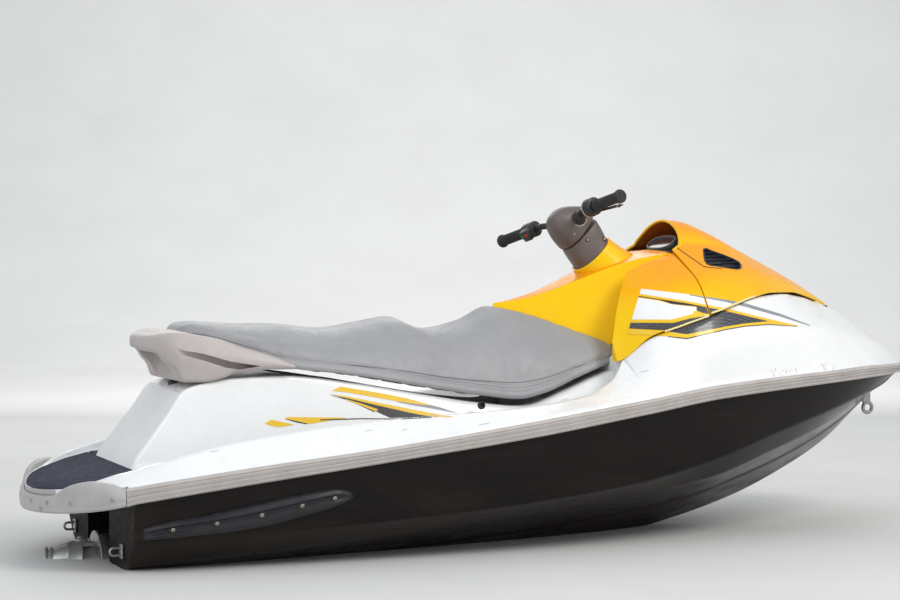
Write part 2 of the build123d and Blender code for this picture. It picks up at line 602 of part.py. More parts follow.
# ---------------------------------------------------------------- hood
hood_out = loft_x([half_to_full(x, [(0.0, ze), (we, ze), (wk, zk), (wt, zt), (0.0, zc)])
                   for x, we, ze, wk, zk, wt, zt, zc in HOOD])
T = 9.0
hood_in = loft_x([half_to_full(x, [(0.0, ze - 40), (we - T, ze - 40), (we - T - 2, ze), (wk - T, zk - T * 0.6),
                                   (wt - T * 0.4, zt - T), (0.0, zc - T)])
                  for x, we, ze, wk, zk, wt, zt, zc in
                  [(2160.0,) + HOOD[0][1:]] + HOOD[:6] + [(2735.0, 142.0, 806.0, 116.0, 826.0, 74.0, 846.0, 858.0)]])
shell = hood_out - hood_in
shell = shell - prism_xz([(2150, 1200), (2150, 700), (2197, 700), (2197, 960), (2222, 1056), (2244, 1200)], -700, 700)
side_eye = prism_xz([(2150, 972), (2336, 980), (2330, 1006), (2262, 1100), (2150, 1100)], -60, -260)
side_eye2 = prism_xz([(2150, 972), (2336, 980), (2330, 1006), (2262, 1100), (2150, 1100)], 60, 260)
shell = cut(shell, side_eye, side_eye2)
shell = shell - block(2800, 2950, -60, 60, 700, 766)
front = shell & block(2360, 3000, -700, 700, 600, 1300)
visor = shell & block(2100, 2360, -700, 700, 600, 1300)
vent = prism_xz([(2332, 968), (2338, 924), (2358, 912), (2468, 896), (2474, 910), (2455, 934)], -400, 0)
vent_p = prism_xz([(2332, 968), (2338, 924), (2358, 912), (2468, 896), (2474, 910), (2455, 934)], 0, 400)
vent_s_solid = shell & vent
vent_p_solid = shell & vent_p
front = cut(front, vent, vent_p)
visor = cut(visor, vent, vent_p)
save("hood", max(solids_of(front), key=lambda s: s.volume))
save("hood_visor", max(solids_of(visor), key=lambda s: s.volume))
save("hood_vents", [max(solids_of(vent_s_solid), key=lambda s: s.volume),
                    max(solids_of(vent_p_solid), key=lambda s: s.volume)])

# hinge of the hood: a pin on the deck and two knuckles under the hood
pin = rod((HOOD_HINGE[0], -40, HOOD_HINGE[1]), (HOOD_HINGE[0], 40, HOOD_HINGE[1]), 4)
save("hood_hinge_pin", pin)

# tub under the hood
tub = block(2296, 2610, -206, 206, 530, 810)
tub = tub - block(2302, 2604, -200, 200, 536, 900)
tub = tub & prism_xz([(2280, 450), (2280, 766), (2330, 782), (2440, 800), (2560, 804), (2620, 800), (2620, 450)], -300, 300)
save("storage_bin", max(solids_of(tub), key=lambda s: s.volume))

# instrument pod on the console under the visor
pod = prism_xz([(2120, 958), (2194, 962), (2262, 958), (2276, 984), (2186, 1006), (2128, 988)], -96, 96)
pod = cut(pod, core, console_full)
save("instrument_pod", max(solids_of(pod), key=lambda s: s.volume))

# ---------------------------------------------------------------- steering
bar = Vector(*BAR_C)
AX_U = Vector(math.cos(tilt), 0, math.sin(tilt))       # across the axis, forward and up


def ring_on(along, shift, ru, rv, n=20):
    """ring of points square to the steering axis, so far up it and so far forward."""
    out = []
    for k in range(n):
        a = 2 * math.pi * k / n
        q = COLLAR + AX * along + AX_U * (shift + ru * math.cos(a)) + Vector(0, rv * math.sin(a), 0)
        out.append((q.X, q.Y, q.Z))
    return out


mast = loft_x([ring_on(0.5, 0, 74, 70), ring_on(40, 8, 76, 66), ring_on(78, 16, 76, 60)])
save("steering_mast", mast)


# the handlebar is drawn about the steering axis, x forward, z up the axis,
# then turned to port, tilted and moved to its place
def placed(shape):
    return shape.rotate(Axis.Z, BAR_TURN).rotate(Axis.Y, -BAR_TILT).translate(bar)


W = 336.0
BEND = [(20.0, 50.0, -20.0), (18.0, 84.0, -6.0), (8.0, 130.0, 12.0), (0.0, W, 16.0)]


def bar_point(s, y):
    t = (y - 130.0) / (W - 130.0)
    return (8.0 - 8.0 * t, s * y, 12.0 + 4.0 * t)


def on_bar(s, y0, y1, r0, r1=None):
    return rod(bar_point(s, y0), bar_point(s, y1), r0, r1)


def tube_rings(points, r, n=12):
    rings = []
    for i, p in enumerate(points):
        a = Vector(*points[max(i - 1, 0)])
        b = Vector(*points[min(i + 1, len(points) - 1)])
        d = (b - a).normalized()
        u = d.cross(Vector(0, 0, 1)).normalized()
        v = u.cross(d)
        c = Vector(*p)
        rings.append([tuple(c + u * (r * math.cos(2 * math.pi * k / n)) + v * (r * math.sin(2 * math.pi * k / n)))
                      for k in range(n)])
    return rings


bar_path = [(x, -y, z) for x, y, z in reversed(BEND)] + [(x, y, z) for x, y, z in BEND]
tube = loft_x(tube_rings(bar_path, TUBE_R))
save("handlebar_tube", placed(tube))
wide_tube = loft_x(tube_rings(bar_path, TUBE_R + 0.8))


def cover_ring(along, shift, ru, rv, n=20):
    return [(shift + ru * math.cos(2 * math.pi * k / n), rv * math.sin(2 * math.pi * k / n), along) for k in range(n)]


cover = loft_x([cover_ring(-66, 16, 80, 60), cover_ring(-46, 20, 84, 62), cover_ring(-15, 16, 78, 60),
                cover_ring(12, 6, 62, 54), cover_ring(34, 0, 44, 42), cover_ring(48, -4, 24, 24)])
save("handlebar_pad", placed(max(solids_of(cover - wide_tube), key=lambda q: q.volume)))

grips = [on_bar(s, 206, W + 9, GRIP_R) - on_bar(s, 190, W + 1, TUBE_R + 0.6) for s in (-1, 1)]
save("grips", [placed(max(solids_of(g), key=lambda q: q.volume)) for g in grips])
throttle_body = on_bar(-1, 158, 196, 31) - on_bar(-1, 140, 214, TUBE_R + 0.6)
save("throttle_housing", placed(throttle_body))
t0, t1 = bar_point(-1, 178), bar_point(-1, 296)
lever = join(rod((t0[0] + 10, t0[1], t0[2] - 26), (t0[0] + 22, t0[1] - 8, t0[2] - 36), 7),
             rod((t0[0] + 21, t0[1] - 6, t0[2] - 35), (t1[0] + 8, t1[1], t1[2] - 34), 5))
lever = lever - on_bar(-1, 140, 204, 31.2)
save("throttle_lever", placed(max(solids_of(lever), key=lambda q: q.volume)))
s0 = bar_point(1, 172)
switch = on_bar(1, 146, 198, 28) + block(s0[0] - 42, s0[0] - 8, 150, 194, s0[2] - 18, s0[2] + 24)
switch = switch - on_bar(1, 120, 220, TUBE_R + 0.6)
save("switch_housing", placed(max(solids_of(switch), key=lambda q: q.volume)))

# ---------------------------------------------------------------- fittings
cap = rod((2420, 436, 690), (2420, 470, 716), 46) - deck
save("fuel_cap", max(solids_of(cap), key=lambda q: q.volume))

for name, parts in NODES.items():
    bb = Compound(children=[p.moved(Location((0, 0, 0))) for p in parts]).bounding_box()
    print(f"{name:18s} {len(parts)} X {bb.min.X:7.0f} {bb.max.X:7.0f} Y {bb.min.Y:6.0f} {bb.max.Y:6.0f} "
          f"Z {bb.min.Z:6.0f} {bb.max.Z:6.0f} vol {sum(p.volume for p in parts) / 1e6:8.3f} L")
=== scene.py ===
import math

import bmesh
import bpy
import numpy as np
from mathutils import Matrix, Vector
from mathutils.bvhtree import BVHTree


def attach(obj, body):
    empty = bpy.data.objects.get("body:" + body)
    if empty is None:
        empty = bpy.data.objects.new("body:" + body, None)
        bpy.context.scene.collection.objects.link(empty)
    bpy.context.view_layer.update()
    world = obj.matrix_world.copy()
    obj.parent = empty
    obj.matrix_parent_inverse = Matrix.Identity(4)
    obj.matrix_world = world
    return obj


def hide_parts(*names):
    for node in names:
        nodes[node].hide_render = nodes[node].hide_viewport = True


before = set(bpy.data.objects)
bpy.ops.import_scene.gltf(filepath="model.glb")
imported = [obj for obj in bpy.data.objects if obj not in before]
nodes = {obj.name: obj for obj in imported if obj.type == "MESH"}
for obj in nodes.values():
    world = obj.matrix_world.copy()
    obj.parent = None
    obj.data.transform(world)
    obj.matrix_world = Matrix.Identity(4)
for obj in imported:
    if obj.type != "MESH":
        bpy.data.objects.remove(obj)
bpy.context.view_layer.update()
S = 1610.0          # millimetres from the stern edge to the row's origin

# ------------------------------------------------------------------ tables
# the same station tables as the CAD, in millimetres, X forward from the stern
HULL = np.array([
    (240.0, 507.0, 267.0, 216.0, 90.0, 14.0, -140.0),
    (600.0, 555.0, 316.0, 266.0, 110.0, 40.0, -125.0),
    (1000.0, 578.0, 360.0, 315.0, 130.0, 72.0, -110.0),
    (1500.0, 585.0, 426.0, 376.0, 167.0, 120.0, -85.0),
    (1900.0, 575.0, 482.0, 435.0, 214.0, 166.0, -50.0),
    (2200.0, 548.0, 523.0, 478.0, 278.0, 205.0, 3.0),
    (2500.0, 485.0, 543.0, 500.0, 362.0, 288.0, 83.0),
    (2700.0, 420.0, 551.0, 510.0, 410.0, 345.0, 165.0),
    (2900.0, 325.0, 558.0, 517.0, 457.0, 412.0, 274.0),
    (3050.0, 225.0, 556.0, 520.0, 488.0, 462.0, 400.0),
    (3140.0, 145.0, 552.0, 522.0, 512.0, 506.0, 492.0),
    (3180.0, 98.0, 547.0, 521.0, 517.0, 514.0, 508.0),
    (3208.0, 50.0, 542.0, 521.0, 519.0, 518.0, 516.0)])
DECK = np.array([
    (240.0, 402.0, 302.0, 360.0, 302.0, 302.0),
    (400.0, 432.0, 345.0, 390.0, 345.0, 345.0),
    (600.0, 447.0, 388.0, 410.0, 388.0, 388.0),
    (1000.0, 468.0, 434.0, 430.0, 434.0, 434.0),
    (1500.0, 475.0, 463.0, 440.0, 463.0, 463.0),
    (1780.0, 470.0, 500.0, 420.0, 505.0, 505.0),
    (1900.0, 465.0, 530.0, 350.0, 585.0, 585.0),
    (2000.0, 480.0, 590.0, 415.0, 672.0, 672.0),
    (2150.0, 508.0, 630.0, 455.0, 728.0, 728.0),
    (2325.0, 480.0, 665.0, 418.0, 787.0, 787.0),
    (2436.0, 448.0, 685.0, 362.0, 808.0, 808.0),
    (2561.0, 405.0, 690.0, 284.0, 812.0, 815.0),
    (2712.0, 335.0, 690.0, 164.0, 798.0, 806.0),
    (2840.0, 265.0, 672.0, 80.0, 770.0, 776.0),
    (2900.0, 232.0, 660.0, 68.0, 747.0, 753.0),
    (2975.0, 190.0, 645.0, 62.0, 710.0, 717.0),
    (3085.0, 130.0, 608.0, 45.0, 638.0, 645.0),
    (3140.0, 88.0, 582.0, 30.0, 598.0, 602.0),
    (3190.0, 50.0, 556.0, 16.0, 560.0, 562.0)])
PEDESTAL = np.array([
    (286.0, 236.0, 234.0, 294.0),
    (300.0, 250.0, 243.0, 322.0),
    (345.0, 262.0, 240.0, 380.0),
    (404.0, 270.0, 232.0, 455.0),
    (466.0, 276.0, 226.0, 534.0),
    (620.0, 284.0, 224.0, 566.0),
    (790.0, 290.0, 226.0, 570.0),
    (1039.0, 296.0, 234.0, 540.0),
    (1248.0, 300.0, 240.0, 502.0),
    (1463.0, 302.0, 246.0, 466.0),
    (1610.0, 304.0, 250.0, 452.0),
    (1759.0, 306.0, 252.0, 498.0),
    (1905.0, 310.0, 262.0, 556.0),
    (1932.0, 311.0, 264.0, 564.0)])
SEAT = np.array([
    (478.0, 70.0, 690.0, 66.0, 708.0, 46.0, 716.0, 719.0),
    (500.0, 122.0, 692.0, 116.0, 712.0, 84.0, 728.0, 732.0),
    (530.0, 152.0, 690.0, 146.0, 712.0, 100.0, 736.0, 741.0),
    (573.0, 182.0, 680.0, 176.0, 704.0, 114.0, 733.0, 740.0),
    (640.0, 206.0, 656.0, 200.0, 690.0, 126.0, 724.0, 735.0),
    (725.0, 226.0, 628.0, 216.0, 672.0, 130.0, 718.0, 731.0),
    (800.0, 248.0, 596.0, 218.0, 664.0, 126.0, 716.0, 731.0),
    (977.0, 254.0, 572.0, 214.0, 650.0, 120.0, 700.0, 714.0),
    (1100.0, 256.0, 552.0, 210.0, 644.0, 112.0, 712.0, 731.0),
    (1215.0, 256.0, 530.0, 206.0, 640.0, 106.0, 724.0, 747.0),
    (1343.0, 256.0, 508.0, 210.0, 620.0, 116.0, 690.0, 706.0),
    (1463.0, 258.0, 489.0, 212.0, 616.0, 112.0, 702.0, 728.0),
    (1589.0, 262.0, 475.0, 208.0, 620.0, 96.0, 742.0, 780.0),
    (1680.0, 264.0, 492.0, 212.0, 622.0, 100.0, 738.0, 776.0),
    (1800.0, 262.0, 540.0, 220.0, 630.0, 118.0, 716.0, 740.0),
    (1920.0, 246.0, 584.0, 224.0, 634.0, 150.0, 676.0, 690.0),
    (1985.0, 214.0, 608.0, 206.0, 626.0, 180.0, 640.0, 646.0)])
CONSOLE = np.array([
    (1604.0, 60.0, 640.0, 40.0, 700.0, 22.0, 778.0, 786.0),
    (1700.0, 150.0, 600.0, 110.0, 700.0, 62.0, 794.0, 806.0),
    (1800.0, 210.0, 600.0, 166.0, 716.0, 92.0, 826.0, 840.0),
    (1900.0, 342.0, 596.0, 240.0, 750.0, 112.0, 868.0, 882.0),
    (2000.0, 408.0, 680.0, 320.0, 800.0, 140.0, 908.0, 920.0),
    (2100.0, 440.0, 718.0, 360.0, 838.0, 165.0, 938.0, 948.0),
    (2190.0, 450.0, 748.0, 376.0, 860.0, 178.0, 958.0, 966.0)])
HOOD = np.array([
    (2198.0, 450.0, 757.0, 376.0, 862.0, 180.0, 965.0, 1040.0),
    (2240.0, 446.0, 768.0, 370.0, 872.0, 172.0, 985.0, 1070.0),
    (2300.0, 432.0, 786.0, 352.0, 882.0, 170.0, 985.0, 1066.0),
    (2380.0, 398.0, 806.0, 320.0, 888.0, 168.0, 976.0, 1036.0),
    (2500.0, 325.0, 822.0, 262.0, 882.0, 150.0, 938.0, 975.0),
    (2640.0, 220.0, 820.0, 178.0, 858.0, 110.0, 888.0, 906.0),
    (2760.0, 124.0, 802.0, 104.0, 820.0, 66.0, 838.0, 848.0),
    (2880.0, 52.0, 768.0, 44.0, 773.0, 28.0, 778.0, 782.0)])
FLOOR = np.array([(-60.0, 212.0), (0.0, 222.0), (100.0, 250.0), (200.0, 274.0),
                  (300.0, 294.0), (600.0, 298.0), (1000.0, 304.0), (1400.0, 316.0),
                  (1740.0, 340.0), (1850.0, 372.0), (1930.0, 440.0)])
WELL = np.array([(-60.0, 200.0), (40.0, 216.0), (80.0, 262.0), (130.0, 316.0),
                 (200.0, 366.0), (300.0, 398.0),
                 (600.0, 428.0), (1000.0, 450.0), (1500.0, 455.0), (1750.0, 436.0),
                 (1860.0, 400.0), (1925.0, 345.0)])
STERN_IN = np.array([(20.0, 38.0), (34.0, 124.0), (67.0, 254.0), (114.0, 366.0), (170.0, 446.0), (240.0, 487.0)])
HANDLE = np.array([
    (356.0, 44.0, 668.0, 40.0, 690.0), (372.0, 100.0, 658.0, 96.0, 698.0),
    (398.0, 150.0, 648.0, 146.0, 704.0), (420.0, 176.0, 622.0, 172.0, 710.0),
    (445.0, 198.0, 598.0, 192.0, 712.0), (466.0, 210.0, 556.0, 200.0, 712.0),
    (520.0, 234.0, 556.0, 218.0, 702.0), (580.0, 244.0, 566.0, 226.0, 690.0),
    (640.0, 248.0, 588.0, 230.0, 668.0), (730.0, 252.0, 592.0, 238.0, 640.0),
    (815.0, 257.0, 592.0, 250.0, 606.0)])
GROOVE = [(420, 668), (468, 656), (520, 647), (606, 621), (705, 604), (640, 594),
          (591, 602), (526, 624), (461, 643), (425, 656)]
PUMP_Z = -25.0
NOZZLE_X = 180.0


# ------------------------------------------------------------------ numbers
def pchip(xk, yk, x):
    """smooth curve through the points that keeps their rises and falls."""
    xk = np.asarray(xk, float)
    yk = np.asarray(yk, float)
    x = np.clip(np.asarray(x, float), xk[0], xk[-1])
    h = np.diff(xk)
    d = np.diff(yk) / h
    m = np.zeros_like(yk)
    if len(xk) == 2:
        m[:] = d[0]
    else:
        w1, w2 = 2 * h[1:] + h[:-1], h[1:] + 2 * h[:-1]
        same = d[1:] * d[:-1] > 0
        den = np.where(same, w1 / np.where(d[:-1] == 0, 1, d[:-1]) + w2 / np.where(d[1:] == 0, 1, d[1:]), 1)
        m[1:-1] = np.where(same, (w1 + w2) / den, 0)

        def end(h0, h1, d0, d1):
            e = ((2 * h0 + h1) * d0 - h0 * d1) / (h0 + h1)
            if e * d0 <= 0:
                return 0.0
            if d0 * d1 <= 0 and abs(e) > 3 * abs(d0):
                return 3 * d0
            return e

        m[0] = end(h[0], h[1], d[0], d[1])
        m[-1] = end(h[-1], h[-2], d[-1], d[-2])
    i = np.clip(np.searchsorted(xk, x, side="right") - 1, 0, len(h) - 1)
    t = (x - xk[i]) / h[i]
    h00 = (1 + 2 * t) * (1 - t) ** 2
    h10 = t * (1 - t) ** 2
    h01 = t * t * (3 - 2 * t)
    h11 = t * t * (t - 1)
    return h00 * yk[i] + h10 * h[i] * m[i] + h01 * yk[i + 1] + h11 * h[i] * m[i + 1]


def col(table, c, x):
    return pchip(table[:, 0], table[:, c], x)


def lin(table, x, c=1):
    return np.interp(x, table[:, 0], table[:, c])


def smooth(a, b, x):
    t = np.clip((np.asarray(x, float) - a) / (b - a), 0, 1)
    return t * t * (3 - 2 * t)


def beam(x):
    """half beam outside the rub rail, rounded at the stern."""
    x = np.asarray(x, float)
    t = np.clip(x / 240.0, 0, 1)
    aft = 475.0 * (1 - (1 - t) ** 2) ** 0.62 + 32.0 * t
    fwd = col(HULL, 1, np.maximum(x, 240.0))
    return np.where(x < 240.0, aft, fwd)


def rail_top(x):
    x = np.asarray(x, float)
    return np.where(x < 240.0, np.interp(x, [-20, 100, 239], [216, 243, 268]), col(HULL, 2, np.maximum(x, 240.0)))


def rail_bot(x):
    x = np.asarray(x, float)
    return np.where(x < 240.0, np.interp(x, [-20, 100, 239], [152, 182, 215]), col(HULL, 3, np.maximum(x, 240.0)))


def rounded(K, R, ns, na=4):
    """K (nx, nk, 2) corner points of one section at each station; R a radius for each
    inner corner; ns samples inside each straight run. Gives (nx, m, 2)."""
    K = np.asarray(K, float)
    nx, nk, _ = K.shape
    out = [K[:, 0:1]]
    prev = K[:, 0]
    for i in range(1, nk):
        if i < nk - 1:
            a, b, c = K[:, i - 1], K[:, i], K[:, i + 1]
            la = np.linalg.norm(a - b, axis=1)
            lc = np.linalg.norm(c - b, axis=1)
            r = np.minimum(np.broadcast_to(np.asarray(R[i - 1], float), (nx,)), np.minimum(0.47 * la, 0.47 * lc))
            da = (a - b) / np.maximum(la, 1e-9)[:, None]
            dc = (c - b) / np.maximum(lc, 1e-9)[:, None]
            p0, p2 = b + da * r[:, None], b + dc * r[:, None]
        else:
            p0 = p2 = b = K[:, i]
        n = ns[i - 1]
        for k in range(1, n + 1):
            t = k / (n + 1)
            out.append((prev * (1 - t) + p0 * t)[:, None])
        if i < nk - 1:
            for k in range(na + 1):
                t = k / na
                out.append(((1 - t) ** 2 * p0 + 2 * t * (1 - t) * b + t * t * p2)[:, None])
        else:
            out.append(K[:, i:i + 1])
        prev = p2
    return np.concatenate(out, axis=1)


def to_row(v):
    v = np.array(v, float)
    v[..., 0] -= S
    return v / 1000.0


# ------------------------------------------------------------------ meshes
def new_object(name, verts, faces, angle=35.0):
    me = bpy.data.meshes.new(name)
    me.from_pydata([tuple(v) for v in verts], [], faces)
    me.validate()
    me.update()
    ob = bpy.data.objects.new(name, me)
    bpy.context.scene.collection.objects.link(ob)
    shade(ob, angle)
    return ob


def shade(ob, angle=35.0):
    for p in ob.data.polygons:
        p.use_smooth = True
    ob.data.set_sharp_from_angle(angle=math.radians(angle))


def grid_faces(nu, nv, wrap_u=False, wrap_v=False, flip=False, base=0):
    out = []
    for i in range(nu if wrap_u else nu - 1):
        for j in range(nv if wrap_v else nv - 1):
            a = base + i * nv + j
            b = base + ((i + 1) % nu) * nv + j
            c = base + ((i + 1) % nu) * nv + (j + 1) % nv
            d = base + i * nv + (j + 1) % nv
            out.append((a, d, c, b) if flip else (a, b, c, d))
    return out


class Build:
    """gathers grids and loose faces in millimetres, then makes one object."""

    def __init__(self):
        self.v, self.f, self.m = [], [], []

    def grid(self, V, wrap_u=False, wrap_v=False, flip=False, mat=0, cap0=False, cap1=False):
        V = np.asarray(V, float)
        nu, nv, _ = V.shape
        base = len(self.v)
        self.v.extend(V.reshape(-1, 3).tolist())
        fs = grid_faces(nu, nv, wrap_u, wrap_v, flip, base)
        if cap0:
            r = [base + j for j in range(nv)]
            fs.append(tuple(r if not flip else r[::-1]))
        if cap1:
            r = [base + (nu - 1) * nv + j for j in range(nv)]
            fs.append(tuple(r[::-1] if not flip else r))
        self.f.extend(fs)
        self.m.extend([mat] * len(fs))
        return self

    def faces(self, verts, faces, mat=0):
        base = len(self.v)
        self.v.extend([list(v) for v in verts])
        self.f.extend([tuple(base + i for i in f) for f in faces])
        self.m.extend([mat] * len(faces))
        return self

    def mirrored(self):
        """adds the same thing on the other side of the centreline."""
        n = len(self.v)
        self.v.extend([[v[0], -v[1], v[2]] for v in self.v[:n]])
        self.f.extend([tuple(n + i for i in reversed(f)) for f in self.f[:]])
        self.m.extend(self.m[:])
        return self

    def make(self, name, mats=(), weld=0.05, angle=35.0, bevel=0.0, recalc=False, seg=2, craft=True):
        bm = bmesh.new()
        V = np.asarray(self.v, float)
        V = to_row(V) if craft else V / 1000.0
        vs = [bm.verts.new(v) for v in V]
        for f, m in zip(self.f, self.m):
            if len(set(f)) < 3:
                continue
            try:
                face = bm.faces.new([vs[i] for i in f])
                face.material_index = m
            except ValueError:
                pass
        if weld:
            bmesh.ops.remove_doubles(bm, verts=bm.verts, dist=weld / 1000.0)
        bmesh.ops.dissolve_degenerate(bm, dist=1e-6, edges=bm.edges)
        if recalc:
            bmesh.ops.recalc_face_normals(bm, faces=bm.faces)
        loose = [v for v in bm.verts if not v.link_faces]
        if loose:
            bmesh.ops.delete(bm, geom=loose, context="VERTS")
        me = bpy.data.meshes.new(name)
        bm.to_mesh(me)
        bm.free()
        ob = bpy.data.objects.new(name, me)
        bpy.context.scene.collection.objects.link(ob)
        for m in mats:
            me.materials.append(m)
        if bevel:
            bv = ob.modifiers.new("soft_edges", "BEVEL")
            bv.width = bevel / 1000.0
            bv.segments = seg
            bv.limit_method = "ANGLE"
            bv.angle_limit = math.radians(32)
            bake_modifiers(ob)
        shade(ob, angle)
        return ob


def bake_modifiers(ob):
    dg = bpy.context.evaluated_depsgraph_get()
    me = bpy.data.meshes.new_from_object(ob.evaluated_get(dg))
    old = ob.data
    ob.modifiers.clear()
    ob.data = me
    me.name = old.name
    bpy.data.meshes.remove(old)


def add_modifier(ob, kind, **kw):
    m = ob.modifiers.new(kind.lower(), kind)
    for k, v in kw.items():
        setattr(m, k, v)
    return m


def ring(centre, axis_u, axis_v, r_u, r_v=None, n=24, power=2.0, start=0.0):
    """closed loop of n points round centre; power over 2 squares it off."""
    r_v = r_u if r_v is None else r_v
    t = start + np.arange(n) * 2 * math.pi / n
    c, s = np.cos(t), np.sin(t)
    e = 2.0 / power
    cu = np.sign(c) * np.abs(c) ** e * r_u
    sv = np.sign(s) * np.abs(s) ** e * r_v
    return np.asarray(centre)[None] + cu[:, None] * np.asarray(axis_u)[None] + sv[:, None] * np.asarray(axis_v)[None]


def basis(d):
    d = np.asarray(d, float)
    d = d / np.linalg.norm(d)
    h = np.array([0, 0, 1.0]) if abs(d[2]) < 0.9 else np.array([1.0, 0, 0])
    u = np.cross(h, d)
    u /= np.linalg.norm(u)
    return d, u, np.cross(d, u)


def lathe(b, p0, d, prof, n=24, mat=0, start=0.0, closed=False):
    """prof: rows (distance along d, radius). Added to Build b."""
    d, u, v = basis(d)
    rows = [ring(np.asarray(p0) + d * t, u, v, max(r, 1e-3), n=n, start=start) for t, r in prof]
    V = np.array(rows)
    if closed:
        V = np.concatenate([V, V[:1]])
    b.grid(V, wrap_v=True, mat=mat, flip=False,
           cap0=(not closed and prof[0][1] > 0.5), cap1=(not closed and prof[-1][1] > 0.5))


def sweep(b, path, prof_fn, wrap=True, mat=0, cap=True, up=(0, 0, 1)):
    """prof_fn(i) gives (n, 2) points in the frame (side, up) at path point i."""
    path = np.asarray(path, float)
    t = np.gradient(path, axis=0)
    t /= np.linalg.norm(t, axis=1)[:, None]
    rows = []
    for i in range(len(path)):
        side = np.cross(t[i], np.asarray(up, float))
        side /= max(np.linalg.norm(side), 1e-9)
        top = np.cross(side, t[i])
        pr = np.asarray(prof_fn(i), float)
        rows.append(path[i] + pr[:, 0:1] * side + pr[:, 1:2] * top)
    b.grid(np.array(rows), wrap_v=wrap, mat=mat, cap0=cap, cap1=cap)


def round_box(b, c, size, r, axes=None, mat=0, n=5):
    """box with rounded edges, centre c, full sizes, corner radius r."""
    ex, ey, ez = (np.asarray(a, float) for a in (axes or ((1, 0, 0), (0, 1, 0), (0, 0, 1))))
    hx, hy, hz = (max(s / 2 - r, 0.0) for s in size)
    nu = 4 * n
    rows = []
    for k in range(2 * n + 1):
        phi = -math.pi / 2 + math.pi * k / (2 * n)
        cz = math.sin(phi)
        cr = math.cos(phi)
        z = (hz if k >= n else -hz) + r * cz
        row = []
        for q in range(4):
            for m in range(n + 1):
                th = math.pi / 2 * (q + m / n)
                sx = 1 if q in (0, 3) else -1
                sy = 1 if q in (0, 1) else -1
                row.append((sx * hx + r * cr * math.cos(th), sy * hy + r * cr * math.sin(th), z))
        rows.append(row)
        if k == n:
            rows.append([(x, y, -hz) for x, y, _ in row])
    rows = sorted(rows, key=lambda q: q[0][2])
    V = np.array(rows)
    P = np.asarray(c, float) + V[..., 0:1] * ex + V[..., 1:2] * ey + V[..., 2:3] * ez
    b.grid(P, wrap_v=True, mat=mat, cap0=True, cap1=True)


def screw(b, p, d, r=5.0, mat=0, h=2.2):
    """low domed screw head with a round recess pressed in."""
    d, u, v = basis(d)
    p = np.asarray(p, float)
    n = 20
    rows = []
    for t, rr in [(-2.0, r), (0.0, r), (h * 0.55, r * 0.94), (h * 0.85, r * 0.75), (h, r * 0.5), (h, r * 0.36), (h * 0.35, r * 0.22), (h * 0.3, 0.01)]:
        rows.append(ring(p + d * t, u, v, rr, n=n, power=2.0))
    V = np.array(rows)
    b.grid(V, wrap_v=True, mat=mat, cap0=True)


def ride(ob, body, *replaced, slot=None):
    if replaced:
        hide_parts(*replaced)
    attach(ob, body)
    return ob


